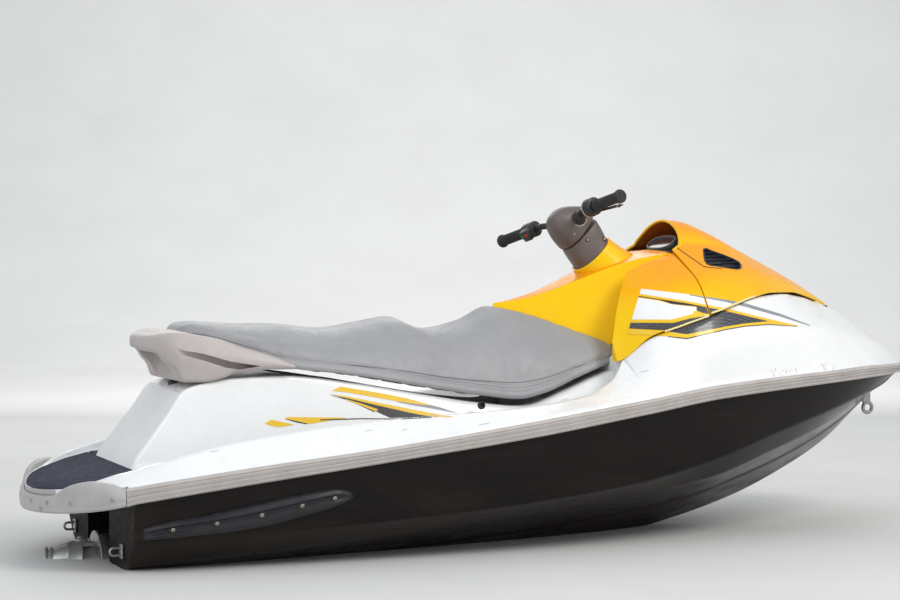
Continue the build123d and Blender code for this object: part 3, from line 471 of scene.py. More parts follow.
# ------------------------------------------------------------------ shaders
class Mat:
    def __init__(self, name, colour, rough=0.5, metal=0.0, spec=0.5, coat=0.0, coat_rough=0.08, sheen=0.0):
        m = bpy.data.materials.new(name)
        m.use_nodes = True
        t = m.node_tree
        t.nodes.clear()
        self.m, self.t = m, t
        self.out = t.nodes.new("ShaderNodeOutputMaterial")
        self.b = t.nodes.new("ShaderNodeBsdfPrincipled")
        t.links.new(self.b.outputs[0], self.out.inputs[0])
        self.b.inputs["Base Color"].default_value = (*colour, 1)
        self.b.inputs["Roughness"].default_value = rough
        self.b.inputs["Metallic"].default_value = metal
        self.b.inputs["Specular IOR Level"].default_value = spec
        self.b.inputs["Coat Weight"].default_value = coat
        self.b.inputs["Coat Roughness"].default_value = coat_rough
        self.b.inputs["Sheen Weight"].default_value = sheen
        self.co = t.nodes.new("ShaderNodeTexCoord").outputs["Object"]
        self.colour = (*colour, 1)
        self.heights = []

    def node(self, kind, **props):
        n = self.t.nodes.new(kind)
        for k, v in props.items():
            setattr(n, k, v)
        return n

    def put(self, socket, value):
        if isinstance(value, bpy.types.NodeSocket):
            self.t.links.new(value, socket)
        elif value is not None:
            if isinstance(value, tuple) and len(value) == 3 and socket.type == "RGBA":
                value = (*value, 1)
            socket.default_value = value

    def scaled(self, s, vec=None):
        n = self.node("ShaderNodeMapping")
        self.put(n.inputs["Vector"], vec or self.co)
        n.inputs["Scale"].default_value = s if isinstance(s, tuple) else (s, s, s)
        return n.outputs[0]

    def noise(self, scale, detail=3.0, rough=0.55, vec=None, dist=0.0):
        n = self.node("ShaderNodeTexNoise")
        self.put(n.inputs["Vector"], vec or self.co)
        n.inputs["Scale"].default_value = scale
        n.inputs["Detail"].default_value = detail
        n.inputs["Roughness"].default_value = rough
        n.inputs["Distortion"].default_value = dist
        return n.outputs["Fac"]

    def voronoi(self, scale, feature="F1", vec=None, out="Distance", rand=1.0):
        n = self.node("ShaderNodeTexVoronoi", feature=feature)
        self.put(n.inputs["Vector"], vec or self.co)
        n.inputs["Scale"].default_value = scale
        n.inputs["Randomness"].default_value = rand
        return n.outputs[out]

    def wave(self, scale, direction="Z", dist=0.0, vec=None, profile="SIN"):
        n = self.node("ShaderNodeTexWave", bands_direction=direction, wave_profile=profile)
        self.put(n.inputs["Vector"], vec or self.co)
        n.inputs["Scale"].default_value = scale
        n.inputs["Distortion"].default_value = dist
        return n.outputs["Fac"]

    def ramp(self, fac, stops, mode="LINEAR"):
        n = self.node("ShaderNodeValToRGB")
        self.put(n.inputs[0], fac)
        cr = n.color_ramp
        cr.interpolation = mode
        while len(cr.elements) < len(stops):
            cr.elements.new(0.5)
        for e, (p, c) in zip(cr.elements, stops):
            e.position = p
            c = c if isinstance(c, tuple) else (c, c, c)
            e.color = (*c, 1)
        return n.outputs[0]

    def mix(self, fac, a, b, kind="MIX"):
        n = self.node("ShaderNodeMix", data_type="RGBA", blend_type=kind)
        self.put(n.inputs[0], fac)
        self.put(n.inputs[6], a)
        self.put(n.inputs[7], b)
        return n.outputs[2]

    def math(self, op, a, b=None, c=None, clamp=False):
        n = self.node("ShaderNodeMath", operation=op, use_clamp=clamp)
        for s, v in zip(n.inputs, (a, b, c)):
            self.put(s, v)
        return n.outputs[0]

    def rng(self, v, a, b, c=0.0, d=1.0):
        n = self.node("ShaderNodeMapRange", clamp=True)
        for s, x in zip(n.inputs, (v, a, b, c, d)):
            self.put(s, x)
        return n.outputs[0]

    def axis(self, k, vec=None):
        n = self.node("ShaderNodeSeparateXYZ")
        self.put(n.inputs[0], vec or self.co)
        return n.outputs[k]

    def attr(self, name, out="Fac"):
        n = self.node("ShaderNodeAttribute", attribute_name=name)
        return n.outputs[out]

    def pointy(self):
        return self.node("ShaderNodeNewGeometry").outputs["Pointiness"]

    def normal_axis(self, k):
        n = self.node("ShaderNodeNewGeometry")
        return self.axis(k, n.outputs["Normal"])

    def base(self, value):
        self.colour = value
        self.put(self.b.inputs["Base Color"], value)
        return self

    def rough(self, value):
        self.put(self.b.inputs["Roughness"], value)
        return self

    def bump(self, height, strength=0.3, dist=0.001):
        self.heights.append((height, strength, dist))
        return self

    def done(self):
        prev = None
        for h, s, d in self.heights:
            n = self.node("ShaderNodeBump")
            n.inputs["Strength"].default_value = s
            n.inputs["Distance"].default_value = d
            self.put(n.inputs["Height"], h)
            if prev:
                self.put(n.inputs["Normal"], prev)
            prev = n.outputs[0]
        if prev:
            self.put(self.b.inputs["Normal"], prev)
        return self.m


def gelcoat_white():
    k = Mat("gelcoat_white", (0.83, 0.83, 0.82), rough=0.26, coat=0.35, coat_rough=0.08)
    big = k.noise(3.0, 4.0, 0.6)
    c = k.mix(k.rng(big, 0.35, 0.75), (0.90, 0.90, 0.895), (0.85, 0.845, 0.835))
    grime = k.math("MULTIPLY", k.rng(k.noise(28.0, 5.0, 0.7), 0.52, 0.8), k.rng(k.normal_axis(2), 0.2, 0.9), clamp=True)
    c = k.mix(k.math("MULTIPLY", grime, 0.35), c, (0.60, 0.56, 0.49))
    speck = k.rng(k.voronoi(140.0), 0.03, 0.06, 1.0, 0.0)
    speck = k.math("MULTIPLY", speck, k.rng(k.noise(6.0, 2.0), 0.58, 0.66))
    c = k.mix(k.math("MULTIPLY", speck, 0.5), c, (0.45, 0.42, 0.37))
    k.base(c)
    k.rough(k.rng(k.noise(18.0, 5.0, 0.6), 0.3, 0.75, 0.16, 0.36))
    k.bump(k.noise(5.0, 2.0, 0.4), 0.04, 0.001)
    k.bump(k.noise(420.0, 2.0, 0.5), 0.03, 0.0003)
    return k.done()


def gelcoat_yellow_shaded_tops():
    k = Mat("gelcoat_yellow_shaded_tops", (0.9, 0.52, 0.01), rough=0.34, spec=0.18, coat=0.06, coat_rough=0.10)
    n = k.noise(4.0, 4.0, 0.6)
    c = k.mix(k.rng(n, 0.35, 0.75), (0.97, 0.60, 0.002), (0.95, 0.56, 0.002))
    # upward-facing surfaces are mixed towards orange: painted shade on the tops of the yellow mouldings
    top = k.rng(k.normal_axis(2), 0.45, 0.92)
    c = k.mix(k.math("MULTIPLY", top, 0.92), c, (0.93, 0.31, 0.003))
    dust = k.math("MULTIPLY", k.rng(k.noise(34.0, 5.0, 0.7), 0.5, 0.85), 0.14)
    c = k.mix(dust, c, (0.88, 0.60, 0.14))
    k.base(c)
    k.rough(k.rng(k.noise(20.0, 5.0, 0.6), 0.3, 0.75, 0.18, 0.40))
    k.bump(k.noise(10.0, 2.0, 0.4), 0.08, 0.002)
    k.bump(k.noise(420.0, 2.0, 0.5), 0.05, 0.0004)
    return k.done()


def hull_black():
    k = Mat("hull_black", (0.02, 0.017, 0.015), rough=0.28, spec=0.16, coat=0.03, coat_rough=0.10)
    z = k.axis(2)
    x = k.axis(0)
    low = k.rng(z, 0.02, 0.26, 1.0, 0.0)
    n1 = k.noise(5.0, 6.0, 0.65, vec=k.scaled((0.6, 1.0, 2.4)))
    streak = k.noise(9.0, 5.0, 0.6, vec=k.scaled((0.5, 1.0, 6.0)))
    dust = k.math("MULTIPLY", low, k.rng(n1, 0.36, 0.72))
    c = k.mix(k.rng(n1, 0.3, 0.8), (0.0055, 0.0042, 0.0036), (0.0100, 0.0074, 0.0062))
    c = k.mix(k.math("MULTIPLY", dust, 0.22), c, (0.090, 0.056, 0.034))
    c = k.mix(k.math("MULTIPLY", k.rng(streak, 0.56, 0.8), 0.06), c, (0.10, 0.080, 0.064))
    dots = k.math("MULTIPLY", k.rng(k.voronoi(160.0), 0.04, 0.08, 1.0, 0.0), k.rng(k.noise(7.0, 3.0), 0.5, 0.7))
    c = k.mix(k.math("MULTIPLY", dots, 0.45), c, (0.30, 0.24, 0.17))
    k.base(c)
    r = k.math("ADD", k.rng(n1, 0.3, 0.8, 0.14, 0.34), k.math("MULTIPLY", dust, 0.4))
    k.rough(r)
    k.bump(k.noise(7.0, 2.0, 0.4), 0.14, 0.003)
    k.bump(k.noise(260.0, 3.0, 0.6), 0.08, 0.0006)
    return k.done()


def moulded(name, colour, dark, rough=0.5, grain=900.0, bump=0.25, coat=0.0, dusty=None, spec=0.5):
    """satin moulded plastic: fine leather grain, faint mottling and dust."""
    k = Mat(name, colour, rough=rough, coat=coat, spec=spec)
    n = k.noise(14.0, 5.0, 0.65)
    c = k.mix(k.rng(n, 0.3, 0.75), colour, dark)
    if dusty:
        d = k.math("MULTIPLY", k.rng(k.noise(30.0, 6.0, 0.7), 0.48, 0.78), k.rng(k.normal_axis(2), -0.2, 0.9, 0.25, 1.0))
        c = k.mix(k.math("MULTIPLY", d, dusty[1]), c, dusty[0])
    k.base(c)
    k.rough(k.rng(k.noise(60.0, 4.0, 0.6), 0.3, 0.7, rough - 0.08, rough + 0.12))
    k.bump(k.voronoi(grain), bump, 0.0004)
    k.bump(k.noise(30.0, 3.0, 0.5), 0.08, 0.001)
    return k.done()


def metal_mat(name, colour, rough=0.35, brushed=True, dark=(0.25, 0.24, 0.22), stain=0.3):
    k = Mat(name, colour, rough=rough, metal=0.9)
    n = k.noise(30.0, 6.0, 0.7)
    c = k.mix(k.math("MULTIPLY", k.rng(n, 0.42, 0.75), stain), colour, dark)
    k.base(c)
    k.rough(k.rng(k.noise(80.0, 4.0, 0.7), 0.3, 0.75, rough - 0.1, rough + 0.18))
    if brushed:
        k.bump(k.noise(120.0, 2.0, 0.5, vec=k.scaled((1.0, 12.0, 1.0))), 0.12, 0.0004)
    k.bump(k.noise(380.0, 3.0, 0.6), 0.12, 0.0004)
    return k.done()


M = {}
M["white"] = gelcoat_white()
M["yellow"] = gelcoat_yellow_shaded_tops()
M["hull"] = hull_black()
M["rail"] = moulded("rail_grey", (0.52, 0.485, 0.46), (0.42, 0.385, 0.36), rough=0.48, grain=700.0, bump=0.15, dusty=((0.55, 0.47, 0.37), 0.35))
M["bumper"] = moulded("bumper_grey", (0.47, 0.45, 0.44), (0.40, 0.38, 0.37), rough=0.42, grain=900.0, bump=0.12, dusty=((0.55, 0.48, 0.38), 0.3))
M["handle"] = moulded("handle_grey", (0.53, 0.475, 0.455), (0.46, 0.41, 0.39), rough=0.46, grain=1000.0, bump=0.12, dusty=((0.60, 0.54, 0.46), 0.2))
M["sponson"] = moulded("sponson_charcoal", (0.012, 0.012, 0.015), (0.022, 0.022, 0.026), rough=0.40, grain=700.0, bump=0.2, dusty=((0.10, 0.08, 0.06), 0.22), spec=0.35)
M["black"] = moulded("plastic_black", (0.018, 0.018, 0.019), (0.030, 0.029, 0.029), rough=0.45, grain=900.0, bump=0.25, dusty=((0.12, 0.11, 0.10), 0.25))
M["gasket"] = moulded("gasket_dark", (0.02, 0.018, 0.018), (0.035, 0.033, 0.032), rough=0.6, grain=1200.0, bump=0.2)
M["mast"] = moulded("mast_brown", (0.150, 0.118, 0.105), (0.105, 0.082, 0.072), rough=0.42, grain=800.0, bump=0.22, dusty=((0.30, 0.26, 0.22), 0.25))
M["steel"] = metal_mat("stainless", (0.40, 0.40, 0.39), 0.30)
M["alloy"] = metal_mat("cast_alloy", (0.50, 0.50, 0.49), 0.42, brushed=False, stain=0.5)
M["screw"] = metal_mat("screw_rusty", (0.45, 0.40, 0.34), 0.42, brushed=False, dark=(0.23, 0.12, 0.06), stain=0.7)


def seat_vinyl():
    k = Mat("seat_vinyl", (0.40, 0.40, 0.405), rough=0.50, sheen=0.12, spec=0.45)
    n = k.noise(5.0, 5.0, 0.6)
    c = k.mix(k.rng(n, 0.3, 0.75), (0.345, 0.343, 0.348), (0.290, 0.288, 0.295))
    dirt = k.math("MULTIPLY", k.rng(k.noise(22.0, 6.0, 0.7), 0.5, 0.8), 0.25)
    c = k.mix(dirt, c, (0.28, 0.265, 0.245))
    k.base(c)
    k.rough(k.rng(k.noise(40.0, 4.0, 0.6), 0.3, 0.7, 0.42, 0.62))
    k.bump(k.voronoi(620.0), 0.22, 0.0005)
    k.bump(k.noise(60.0, 3.0, 0.6), 0.07, 0.0012)
    return k.done()


def mat_foam():
    k = Mat("mat_foam", (0.028, 0.030, 0.052), rough=0.85, spec=0.3)
    n = k.noise(40.0, 6.0, 0.7)
    c = k.mix(k.rng(n, 0.35, 0.75), (0.026, 0.029, 0.050), (0.055, 0.058, 0.085))
    sand = k.math("MULTIPLY", k.rng(k.noise(14.0, 5.0, 0.7), 0.55, 0.85), 0.35)
    c = k.mix(sand, c, (0.26, 0.22, 0.17))
    k.base(c)
    k.bump(k.noise(500.0, 3.0, 0.7), 0.4, 0.0006)
    return k.done()


M["seat"] = seat_vinyl()
M["mat"] = mat_foam()
M["piping"] = moulded("piping_grey", (0.33, 0.33, 0.335), (0.27, 0.27, 0.275), rough=0.5, grain=900.0, bump=0.2)
# the inside of the hood is the same yellow moulding, coloured darker orange as painted shade
M["hood_in"] = moulded("hood_inside_painted_shade", (0.62, 0.17, 0.012), (0.50, 0.13, 0.010), rough=0.5, grain=700.0, bump=0.2)
M["vent"] = moulded("vent_black", (0.012, 0.014, 0.022), (0.022, 0.024, 0.034), rough=0.34, grain=900.0, bump=0.2)
M["pod"] = moulded("pod_plastic", (0.055, 0.055, 0.058), (0.035, 0.035, 0.037), rough=0.42, grain=900.0, bump=0.25)
M["lens"] = moulded("lens_dark", (0.035, 0.04, 0.045), (0.075, 0.08, 0.09), rough=0.12, grain=60.0, bump=0.05, coat=0.8)
M["ringgrey"] = moulded("ring_grey", (0.48, 0.45, 0.42), (0.36, 0.33, 0.30), rough=0.5, grain=900.0, bump=0.2)
M["barblack"] = moulded("bar_black", (0.014, 0.014, 0.015), (0.03, 0.03, 0.03), rough=0.35, grain=1500.0, bump=0.1)
M["grip"] = moulded("grip_rubber", (0.014, 0.014, 0.014), (0.028, 0.027, 0.026), rough=0.62, grain=1100.0, bump=0.35)
M["redbutton"] = moulded("button_red", (0.45, 0.02, 0.015), (0.30, 0.015, 0.012), rough=0.4, grain=1200.0, bump=0.1)
M["greenbutton"] = moulded("button_green", (0.02, 0.22, 0.05), (0.015, 0.15, 0.03), rough=0.4, grain=1200.0, bump=0.1)
M["engine"] = metal_mat("engine_metal", (0.30, 0.30, 0.30), 0.5, brushed=False, stain=0.6)
M["film_yellow"] = moulded("film_yellow", (0.90, 0.56, 0.004), (0.84, 0.50, 0.004), rough=0.30, grain=500.0, bump=0.05, coat=0.4)
M["film_black"] = moulded("film_black", (0.012, 0.012, 0.013), (0.022, 0.022, 0.023), rough=0.30, grain=500.0, bump=0.05, coat=0.4)
M["film_white"] = moulded("film_white", (0.90, 0.90, 0.89), (0.84, 0.84, 0.82), rough=0.28, grain=500.0, bump=0.05, coat=0.4)
# grey film: printed grey, and also painted shadow under the seat flash
M["film_grey_print_and_shadow"] = moulded("film_grey_print_and_shadow", (0.30, 0.31, 0.34), (0.24, 0.25, 0.27), rough=0.32, grain=500.0, bump=0.05, coat=0.4)
M["film_pale"] = moulded("film_pale", (0.90, 0.78, 0.38), (0.84, 0.72, 0.34), rough=0.32, grain=500.0, bump=0.05, coat=0.4)
M["film_shadow"] = moulded("film_shadow", (0.16, 0.07, 0.006), (0.10, 0.04, 0.005), rough=0.5, grain=500.0, bump=0.1)
M["scuff"] = moulded("scuff_mark", (0.42, 0.40, 0.38), (0.62, 0.60, 0.57), rough=0.6, grain=300.0, bump=0.3)


def film_mesh():
    k = Mat("film_mesh", (0.03, 0.03, 0.034), rough=0.32, coat=0.4)
    dots = k.rng(k.voronoi(165.0, rand=0.0), 0.24, 0.34, 1.0, 0.0)
    c = k.mix(k.rng(k.noise(12.0, 4.0), 0.3, 0.7), (0.022, 0.022, 0.026), (0.036, 0.036, 0.040))
    k.base(k.mix(k.math("MULTIPLY", dots, 0.9), c, (0.20, 0.20, 0.23)))
    k.rough(k.rng(k.noise(60.0, 4.0, 0.6), 0.3, 0.7, 0.24, 0.42))
    return k.done()


M["film_mesh"] = film_mesh()
M["transom"] = moulded("transom_black", (0.008, 0.0072, 0.0068), (0.016, 0.014, 0.013), rough=0.55, grain=600.0, bump=0.15, dusty=((0.05, 0.042, 0.034), 0.25), spec=0.10)

# ================================================================== hull
BAY = (820.0, 1700.0)
TUB = (2290.0, 2616.0)


def stations(a, b, step, extra=()):
    x = list(np.arange(a, b, step)) + [b] + [e for e in extra if a <= e <= b]
    x = np.array(sorted(set(np.round(x, 3))))
    keep = [x[0]]
    for v in x[1:]:
        if v - keep[-1] > 0.8 or v in extra or v == x[-1]:
            keep.append(v)
    return np.array(keep)


def hull_keys(x, inset=0.0):
    b = col(HULL, 1, x)
    zr, zn, zc, zk = (col(HULL, c, x) for c in (3, 4, 5, 6))
    w = b - 19.0
    cb = np.maximum(b - 120.0, 0.22 * b)
    kb = np.maximum(b - 50.0, 0.55 * b)
    tip = smooth(2850, 3100, x)
    ledge = 7.0 * (1 - tip)
    z0 = np.maximum(zr + 9, zr)
    K = [(w, z0), (w, zr - 2), (kb + ledge, zn + 5), (kb, zn - 3), (cb + 4 * (1 - tip), zc + 6 * (1 - tip)), (cb - 5 * (1 - tip), zc - 1),
         (cb * 0.56, zc + (zk - zc) * 0.42 + 2), (cb * 0.53, zc + (zk - zc) * 0.45 - 3), (cb * 0.04, zk + 1), (0 * w, zk)]
    K = np.stack([np.stack([np.asarray(a) + 0 * x, np.asarray(c) + 0 * x], -1) for a, c in K], 1)
    if inset:
        K[:, :, 0] = np.maximum(K[:, :, 0] - inset, 0)
        K[:, 4:, 1] += inset
    return K


def hull_section(x, inset=0.0):
    return rounded(hull_keys(np.atleast_1d(np.asarray(x, float)), inset),
                   [6, 10, 8, 9, 9, 20, 20, 12], [1, 8, 1, 6, 1, 6, 1, 7, 1], na=3)


def hull_grid():
    xs = stations(252, 3206, 14)
    sec = hull_section(xs)
    rows = [np.concatenate([np.full((len(sec[i]), 1), xs[i]), sec[i]], 1) for i in range(len(xs))]
    R = 10.0
    head = []
    for q in range(5):
        th = math.pi / 2 * q / 4
        ins = R * (1 - math.sin(th))
        s0 = hull_section([240 + R * (1 - math.cos(th))], ins)[0]
        head.append(np.concatenate([np.full((len(s0), 1), 240 + R * (1 - math.cos(th))), s0], 1))
    return np.array(head + rows)


HG = hull_grid()
b = Build()
b.grid(HG, flip=True)
# the bottom is open over the pump tunnel and the intake
keep_f, keep_m = [], []
vv = np.array(b.v)
for f, m in zip(b.f, b.m):
    c = vv[list(f)].mean(0)
    if c[2] < 40 and ((c[0] < 812 and c[0] > 545 and c[1] < 88) or (c[0] < 452 and c[1] < 100)):
        continue
    keep_f.append(f)
    keep_m.append(m)
b.f, b.m = keep_f, keep_m
# transom
edge = HG[0]
ey, ez = edge[:, 1], edge[:, 2]
low = ez < 216
ys = np.array(sorted(set(list(np.linspace(0, 148.5, 12)) + [150.5] + list(np.linspace(152, ey.max() - 1, 30)) + [ey.max()])))
order = np.argsort(ey)
zlow = np.interp(ys, ey[order][::1], np.minimum.accumulate(ez[order][::-1])[::-1])
zt = np.full_like(ys, 236.0)
T = []
for j, y in enumerate(ys):
    zs = np.unique(np.concatenate([np.linspace(zlow[j], min(164.0, zt[j]), 18), [166.0 if zlow[j] < 164 else zt[j]], np.linspace(max(168.0, zlow[j]), zt[j], 7)]))
    zs = np.interp(np.linspace(0, 1, 27), np.linspace(0, 1, len(zs)), zs)
    T.append(zs)
T = np.array(T)
nz = T.shape[1]
V = np.zeros((len(ys), nz, 3))
for j, y in enumerate(ys):
    if y < 150:
        zs = np.concatenate([np.linspace(zlow[j], 164.4, 18), [165.6], np.linspace(170, 236.0, nz - 19)])
    else:
        zs = np.concatenate([np.linspace(zlow[j], max(164.4, zlow[j] + 0.5), 18), [max(165.6, zlow[j] + 0.6)], np.linspace(max(170.0, zlow[j] + 1), 236.0, nz - 19)])
    V[j, :, 1] = y
    V[j, :, 2] = zs
    rec = (y < 150) & (zs < 165)
    V[j, :, 0] = np.where(rec, 372.0, 240.0)
b.grid(V, flip=False, mat=1)
b.mirrored()
hull = b.make("hull_shell", [M["hull"], M["transom"]], weld=0.2, angle=28)
ride(hull, "hull", "hull_bottom", "hull_midship", "hull_topsides", slot="hull_black")

# ================================================================== deck


def deck_keys(x):
    x = np.asarray(x, float)
    stern = x < 240.0
    lim = np.where(stern, lin(STERN_IN, x), beam(x) - 20.5)
    bb = lim + 20.5
    zf = lin(FLOOR, x)
    gun = np.where(stern, smooth(60, 140, x), 1.0)
    ztop = rail_top(x)
    y3 = np.where(stern, np.maximum(bb - 105.0, lim * 0.84), col(DECK, 1, x))
    z3 = np.where(stern, zf + 20 * smooth(80, 235, x), col(DECK, 2, x))
    y4, z4, z5 = (col(DECK, c, np.maximum(x, 240)) for c in (3, 4, 5))
    ww = lin(WELL, x)
    aft = x < 1926.0
    in_bay = (x > BAY[0]) & (x < BAY[1])
    in_tub = (x > TUB[0]) & (x < TUB[1])
    w0, w1, z1 = (col(PEDESTAL, c, x) for c in (1, 2, 3))
    has_ped = x > 286.0
    w0 = np.where(has_ped, w0, np.minimum(234.0, lim * 0.58))
    w1 = np.where(has_ped, w1, np.minimum(232.0, lim * 0.54))
    z1 = np.where(has_ped, z1, zf)
    # well edge height read off the section between crest and inner deck
    zg = np.where(stern, zf + gun * (z3 - zf), z3 + (z4 - z3) * np.clip((y3 - ww) / np.maximum(y3 - y4, 1.0), 0, 1))
    # foredeck
    def zin(y):
        return z5 + (z4 - z5) * np.clip(y / np.maximum(y4, 1.0), 0, 1)
    notch = (x > 1926) & (x < 2003)
    k2 = np.where(in_tub, 208.5, np.minimum(208.0, 0.5 * y4))
    k3f = np.where(notch, 246.0, k2 + (y4 - k2) * 0.25)
    k4f = np.where(notch, 250.0, k2 + (y4 - k2) * 0.5)
    k5f = k4f + (y4 - k4f) * 0.5
    zc = np.where(aft, np.where(in_bay, 58.0, z1), np.where(in_tub, 533.0, np.where(notch, 604.0, z5)))
    zk2 = np.where(aft, z1, np.where(notch, 604.0, zin(k2)))
    zk3 = np.where(aft, z1, np.where(notch, 604.0, zin(k3f)))
    zk4 = np.where(aft, zf, zin(k4f))
    zk5 = np.where(aft, zf, zin(k5f))
    yk2 = np.where(aft, np.minimum(200.0, lim * 0.5), k2)
    y8 = np.where(stern, np.maximum(bb - 32.0, lim * 0.93), bb - 32.0)
    z8 = np.where(stern, zf + gun * (ztop + 9.5 - zf), ztop + 9.5)
    z9 = np.where(stern, zf + gun * (ztop + 1.0 - zf) - 0.5, ztop + 1.0)
    K = [(0 * x, zc), (yk2, zc), (yk2 + 0.6, zk2), (np.where(aft, w1, k3f), zk3), (np.where(aft, w0, k4f), zk4),
         (np.where(aft, np.minimum(ww - 5, lim * 0.76), k5f), zk5), (np.where(aft, np.minimum(ww, lim * 0.79), y4), np.where(aft, zg, z4)),
         (y3, z3), (y8, z8), (lim, z9), (lim - 0.5, z9 - 13)]
    K = np.stack([np.stack([a, c], -1) for a, c in K], 1)
    crest = np.where(aft, 16.0, 34.0)
    radii = [1.0 + 0 * x, np.where(in_bay | in_tub, 5.0, 1.0), np.where(aft, 20.0, np.where(notch, 3.0, 30.0)), np.where(aft, 24.0, np.where(notch, 3.0, 30.0)),
             np.where(aft, 22.0, 30.0), np.where(aft, 8.0, 16.0), crest, 10.0 + 0 * x, 5.0 + 0 * x]
    return K, radii


def deck_section(x):
    K, R = deck_keys(np.atleast_1d(np.asarray(x, float)))
    return rounded(K, R, [5, 3, 3, 8, 6, 4, 3, 8, 1, 1], na=4)


xs = stations(20.5, 3188, 13, extra=(24.0, 28.0, 40.0, 285.0, 287.5, 819.4, 820.6, 1699.4, 1700.6, 1925.4, 1926.6, 2002.4, 2003.6, 2289.4, 2290.6, 2615.4, 2616.6))
sec = deck_section(xs)
V = np.array([np.concatenate([np.full((len(sec[i]), 1), xs[i]), sec[i]], 1) for i in range(len(xs))])
b = Build()
b.grid(V, flip=False)
b.mirrored()
deck = b.make("deck_shell", [M["white"]], weld=0.2, angle=38)
ride(deck, "hull", "deck", "deck_gunwales", "boarding_deck", "footwell_floors", "seat_pedestal", "engine_bay_coamings", slot="deck_white")

# ================================================================== rub rail


def rail_path(x):
    return beam(x), rail_top(x), rail_bot(x)


def rail_profile(h):
    """outward and up offsets of the ribbed strip of height h."""
    pts = [(-21, h), (-9, h), (-4.5, h - 2.5), (-3.2, h - 6)]
    for k in range(3):
        z = h - 11 - k * (h - 22) / 2.0
        pts += [(-2.6 - 0.0, z + 3.6), (-2.2, z + 2.4), (-4.6, z + 0.9), (-4.6, z - 0.9), (-0.6, z - 2.4), (0.0, z - 4.0)]
    pts += [(-0.4, 6.5), (-2.0, 3.2), (-5.5, 0.6), (-9, 0), (-21, 0)]
    return np.array(pts)


def strip(x0, x1, step=16.0):
    xs = stations(x0, x1, step)
    bb, zt_, zb = rail_path(xs)
    db = np.gradient(bb, xs)
    n = np.stack([-db, np.ones_like(db)], 1)
    n /= np.linalg.norm(n, axis=1)[:, None]
    rows = []
    for i, x in enumerate(xs):
        pr = rail_profile(zt_[i] - zb[i])
        rows.append(np.stack([x + n[i, 0] * pr[:, 0], bb[i] + n[i, 1] * pr[:, 0], zb[i] + pr[:, 1]], 1))
    return np.array(rows)


b = Build()
b.grid(strip(213, 3139), wrap_v=True, cap0=True, cap1=True, flip=True)
b.mirrored()
rail = b.make("rub_rail", [M["rail"]], weld=0.02, angle=30)
ride(rail, "hull", "rub_rails", slot="rail_grey")

# ================================================================== bumpers
def stern_xy(th):
    return 240.0 * (1 - np.cos(th)), 475.0 * np.sin(th) ** 1.24 + 32.0 * (1 - np.cos(th))


HUMP = np.array([(0, 213), (30, 219), (44, 230), (56, 247), (70, 261), (93, 274), (118, 280), (155, 277), (185, 268), (211, 261)], float)
q = np.linspace(-1, 1, 181)
th = 1.4497 * np.abs(q) ** 0.85
px, py = stern_xy(np.maximum(th, 1e-4))
py = py * np.sign(q)
tx, ty = np.gradient(px), np.gradient(py)
tl = np.hypot(tx, ty)
nx, ny = -ty / tl, tx / tl          # outward, away from the craft
top = pchip(HUMP[:, 0], HUMP[:, 1], px)
low = rail_bot(px) + 1.0
lip = 20 + 27 * smooth(48, 112, px) - 10 * smooth(175, 211, px)
floor_at = lin(FLOOR, px) - 8
rows = []
for i in range(len(q)):
    h, z0, z1, w = top[i] - low[i], low[i], top[i], lip[i]
    k = smooth(20, 48, w)
    pr = [(19.5, z0), (8, z0 + 0.2), (3, z0 + 2), (0.6, z0 + 6), (0.2, z0 + 12), (1.2, z0 + 14.5), (1.0, z0 + 17), (0.0, z0 + 20), (0.2, z0 + h * 0.5),
          (0.6, z1 - 20 - 8 * k), (2.4 + 2 * k, z1 - 10 - 4 * k), (6 + 5 * k, z1 - 4 - k), (w * 0.42 + 4, z1 - 0.6), (w * 0.68, z1 - 0.2 - 1 * k), (w - 6, z1 - 1.5 - 3 * k),
          (w - 1.6, z1 - 4.0 - 6 * k), (w, z1 - 9 - 7 * k), (w, max(z1 - 40, floor_at[i])), (19.5, floor_at[i])]
    rows.append([(px[i] - nx[i] * u, py[i] - ny[i] * u, z) for u, z in pr])
b = Build()
b.grid(np.array(rows), wrap_v=True, cap0=True, cap1=True)
SCREWS = [(8, 90, 196), (36, 211, 199), (83, 339, 208), (178, 472, 229), (24, 168, 176)]
for x0, y0, z0 in SCREWS:
    for s in (-1, 1):
        i = int(np.argmin(np.hypot(px - x0, py - s * y0)))
        p = np.array([px[i], py[i], z0]) + 0.2 * np.array([nx[i], ny[i], 0])
        lathe(b, p - 3 * np.array([nx[i], ny[i], 0]), (nx[i], ny[i], 0), [(0, 10.5), (3.1, 10.5), (3.7, 9.8), (3.7, 8.2), (2.2, 7.6), (1.4, 7.2)], n=22, mat=0)
        screw(b, p - 1.2 * np.array([nx[i], ny[i], 0]), (nx[i], ny[i], 0), r=6.4, mat=1)
stern_bumper = b.make("stern_bumper_band", [M["bumper"], M["screw"]], weld=0.01, angle=40, recalc=True)
ride(stern_bumper, "hull", "stern_bumper", slot="bumper_grey")

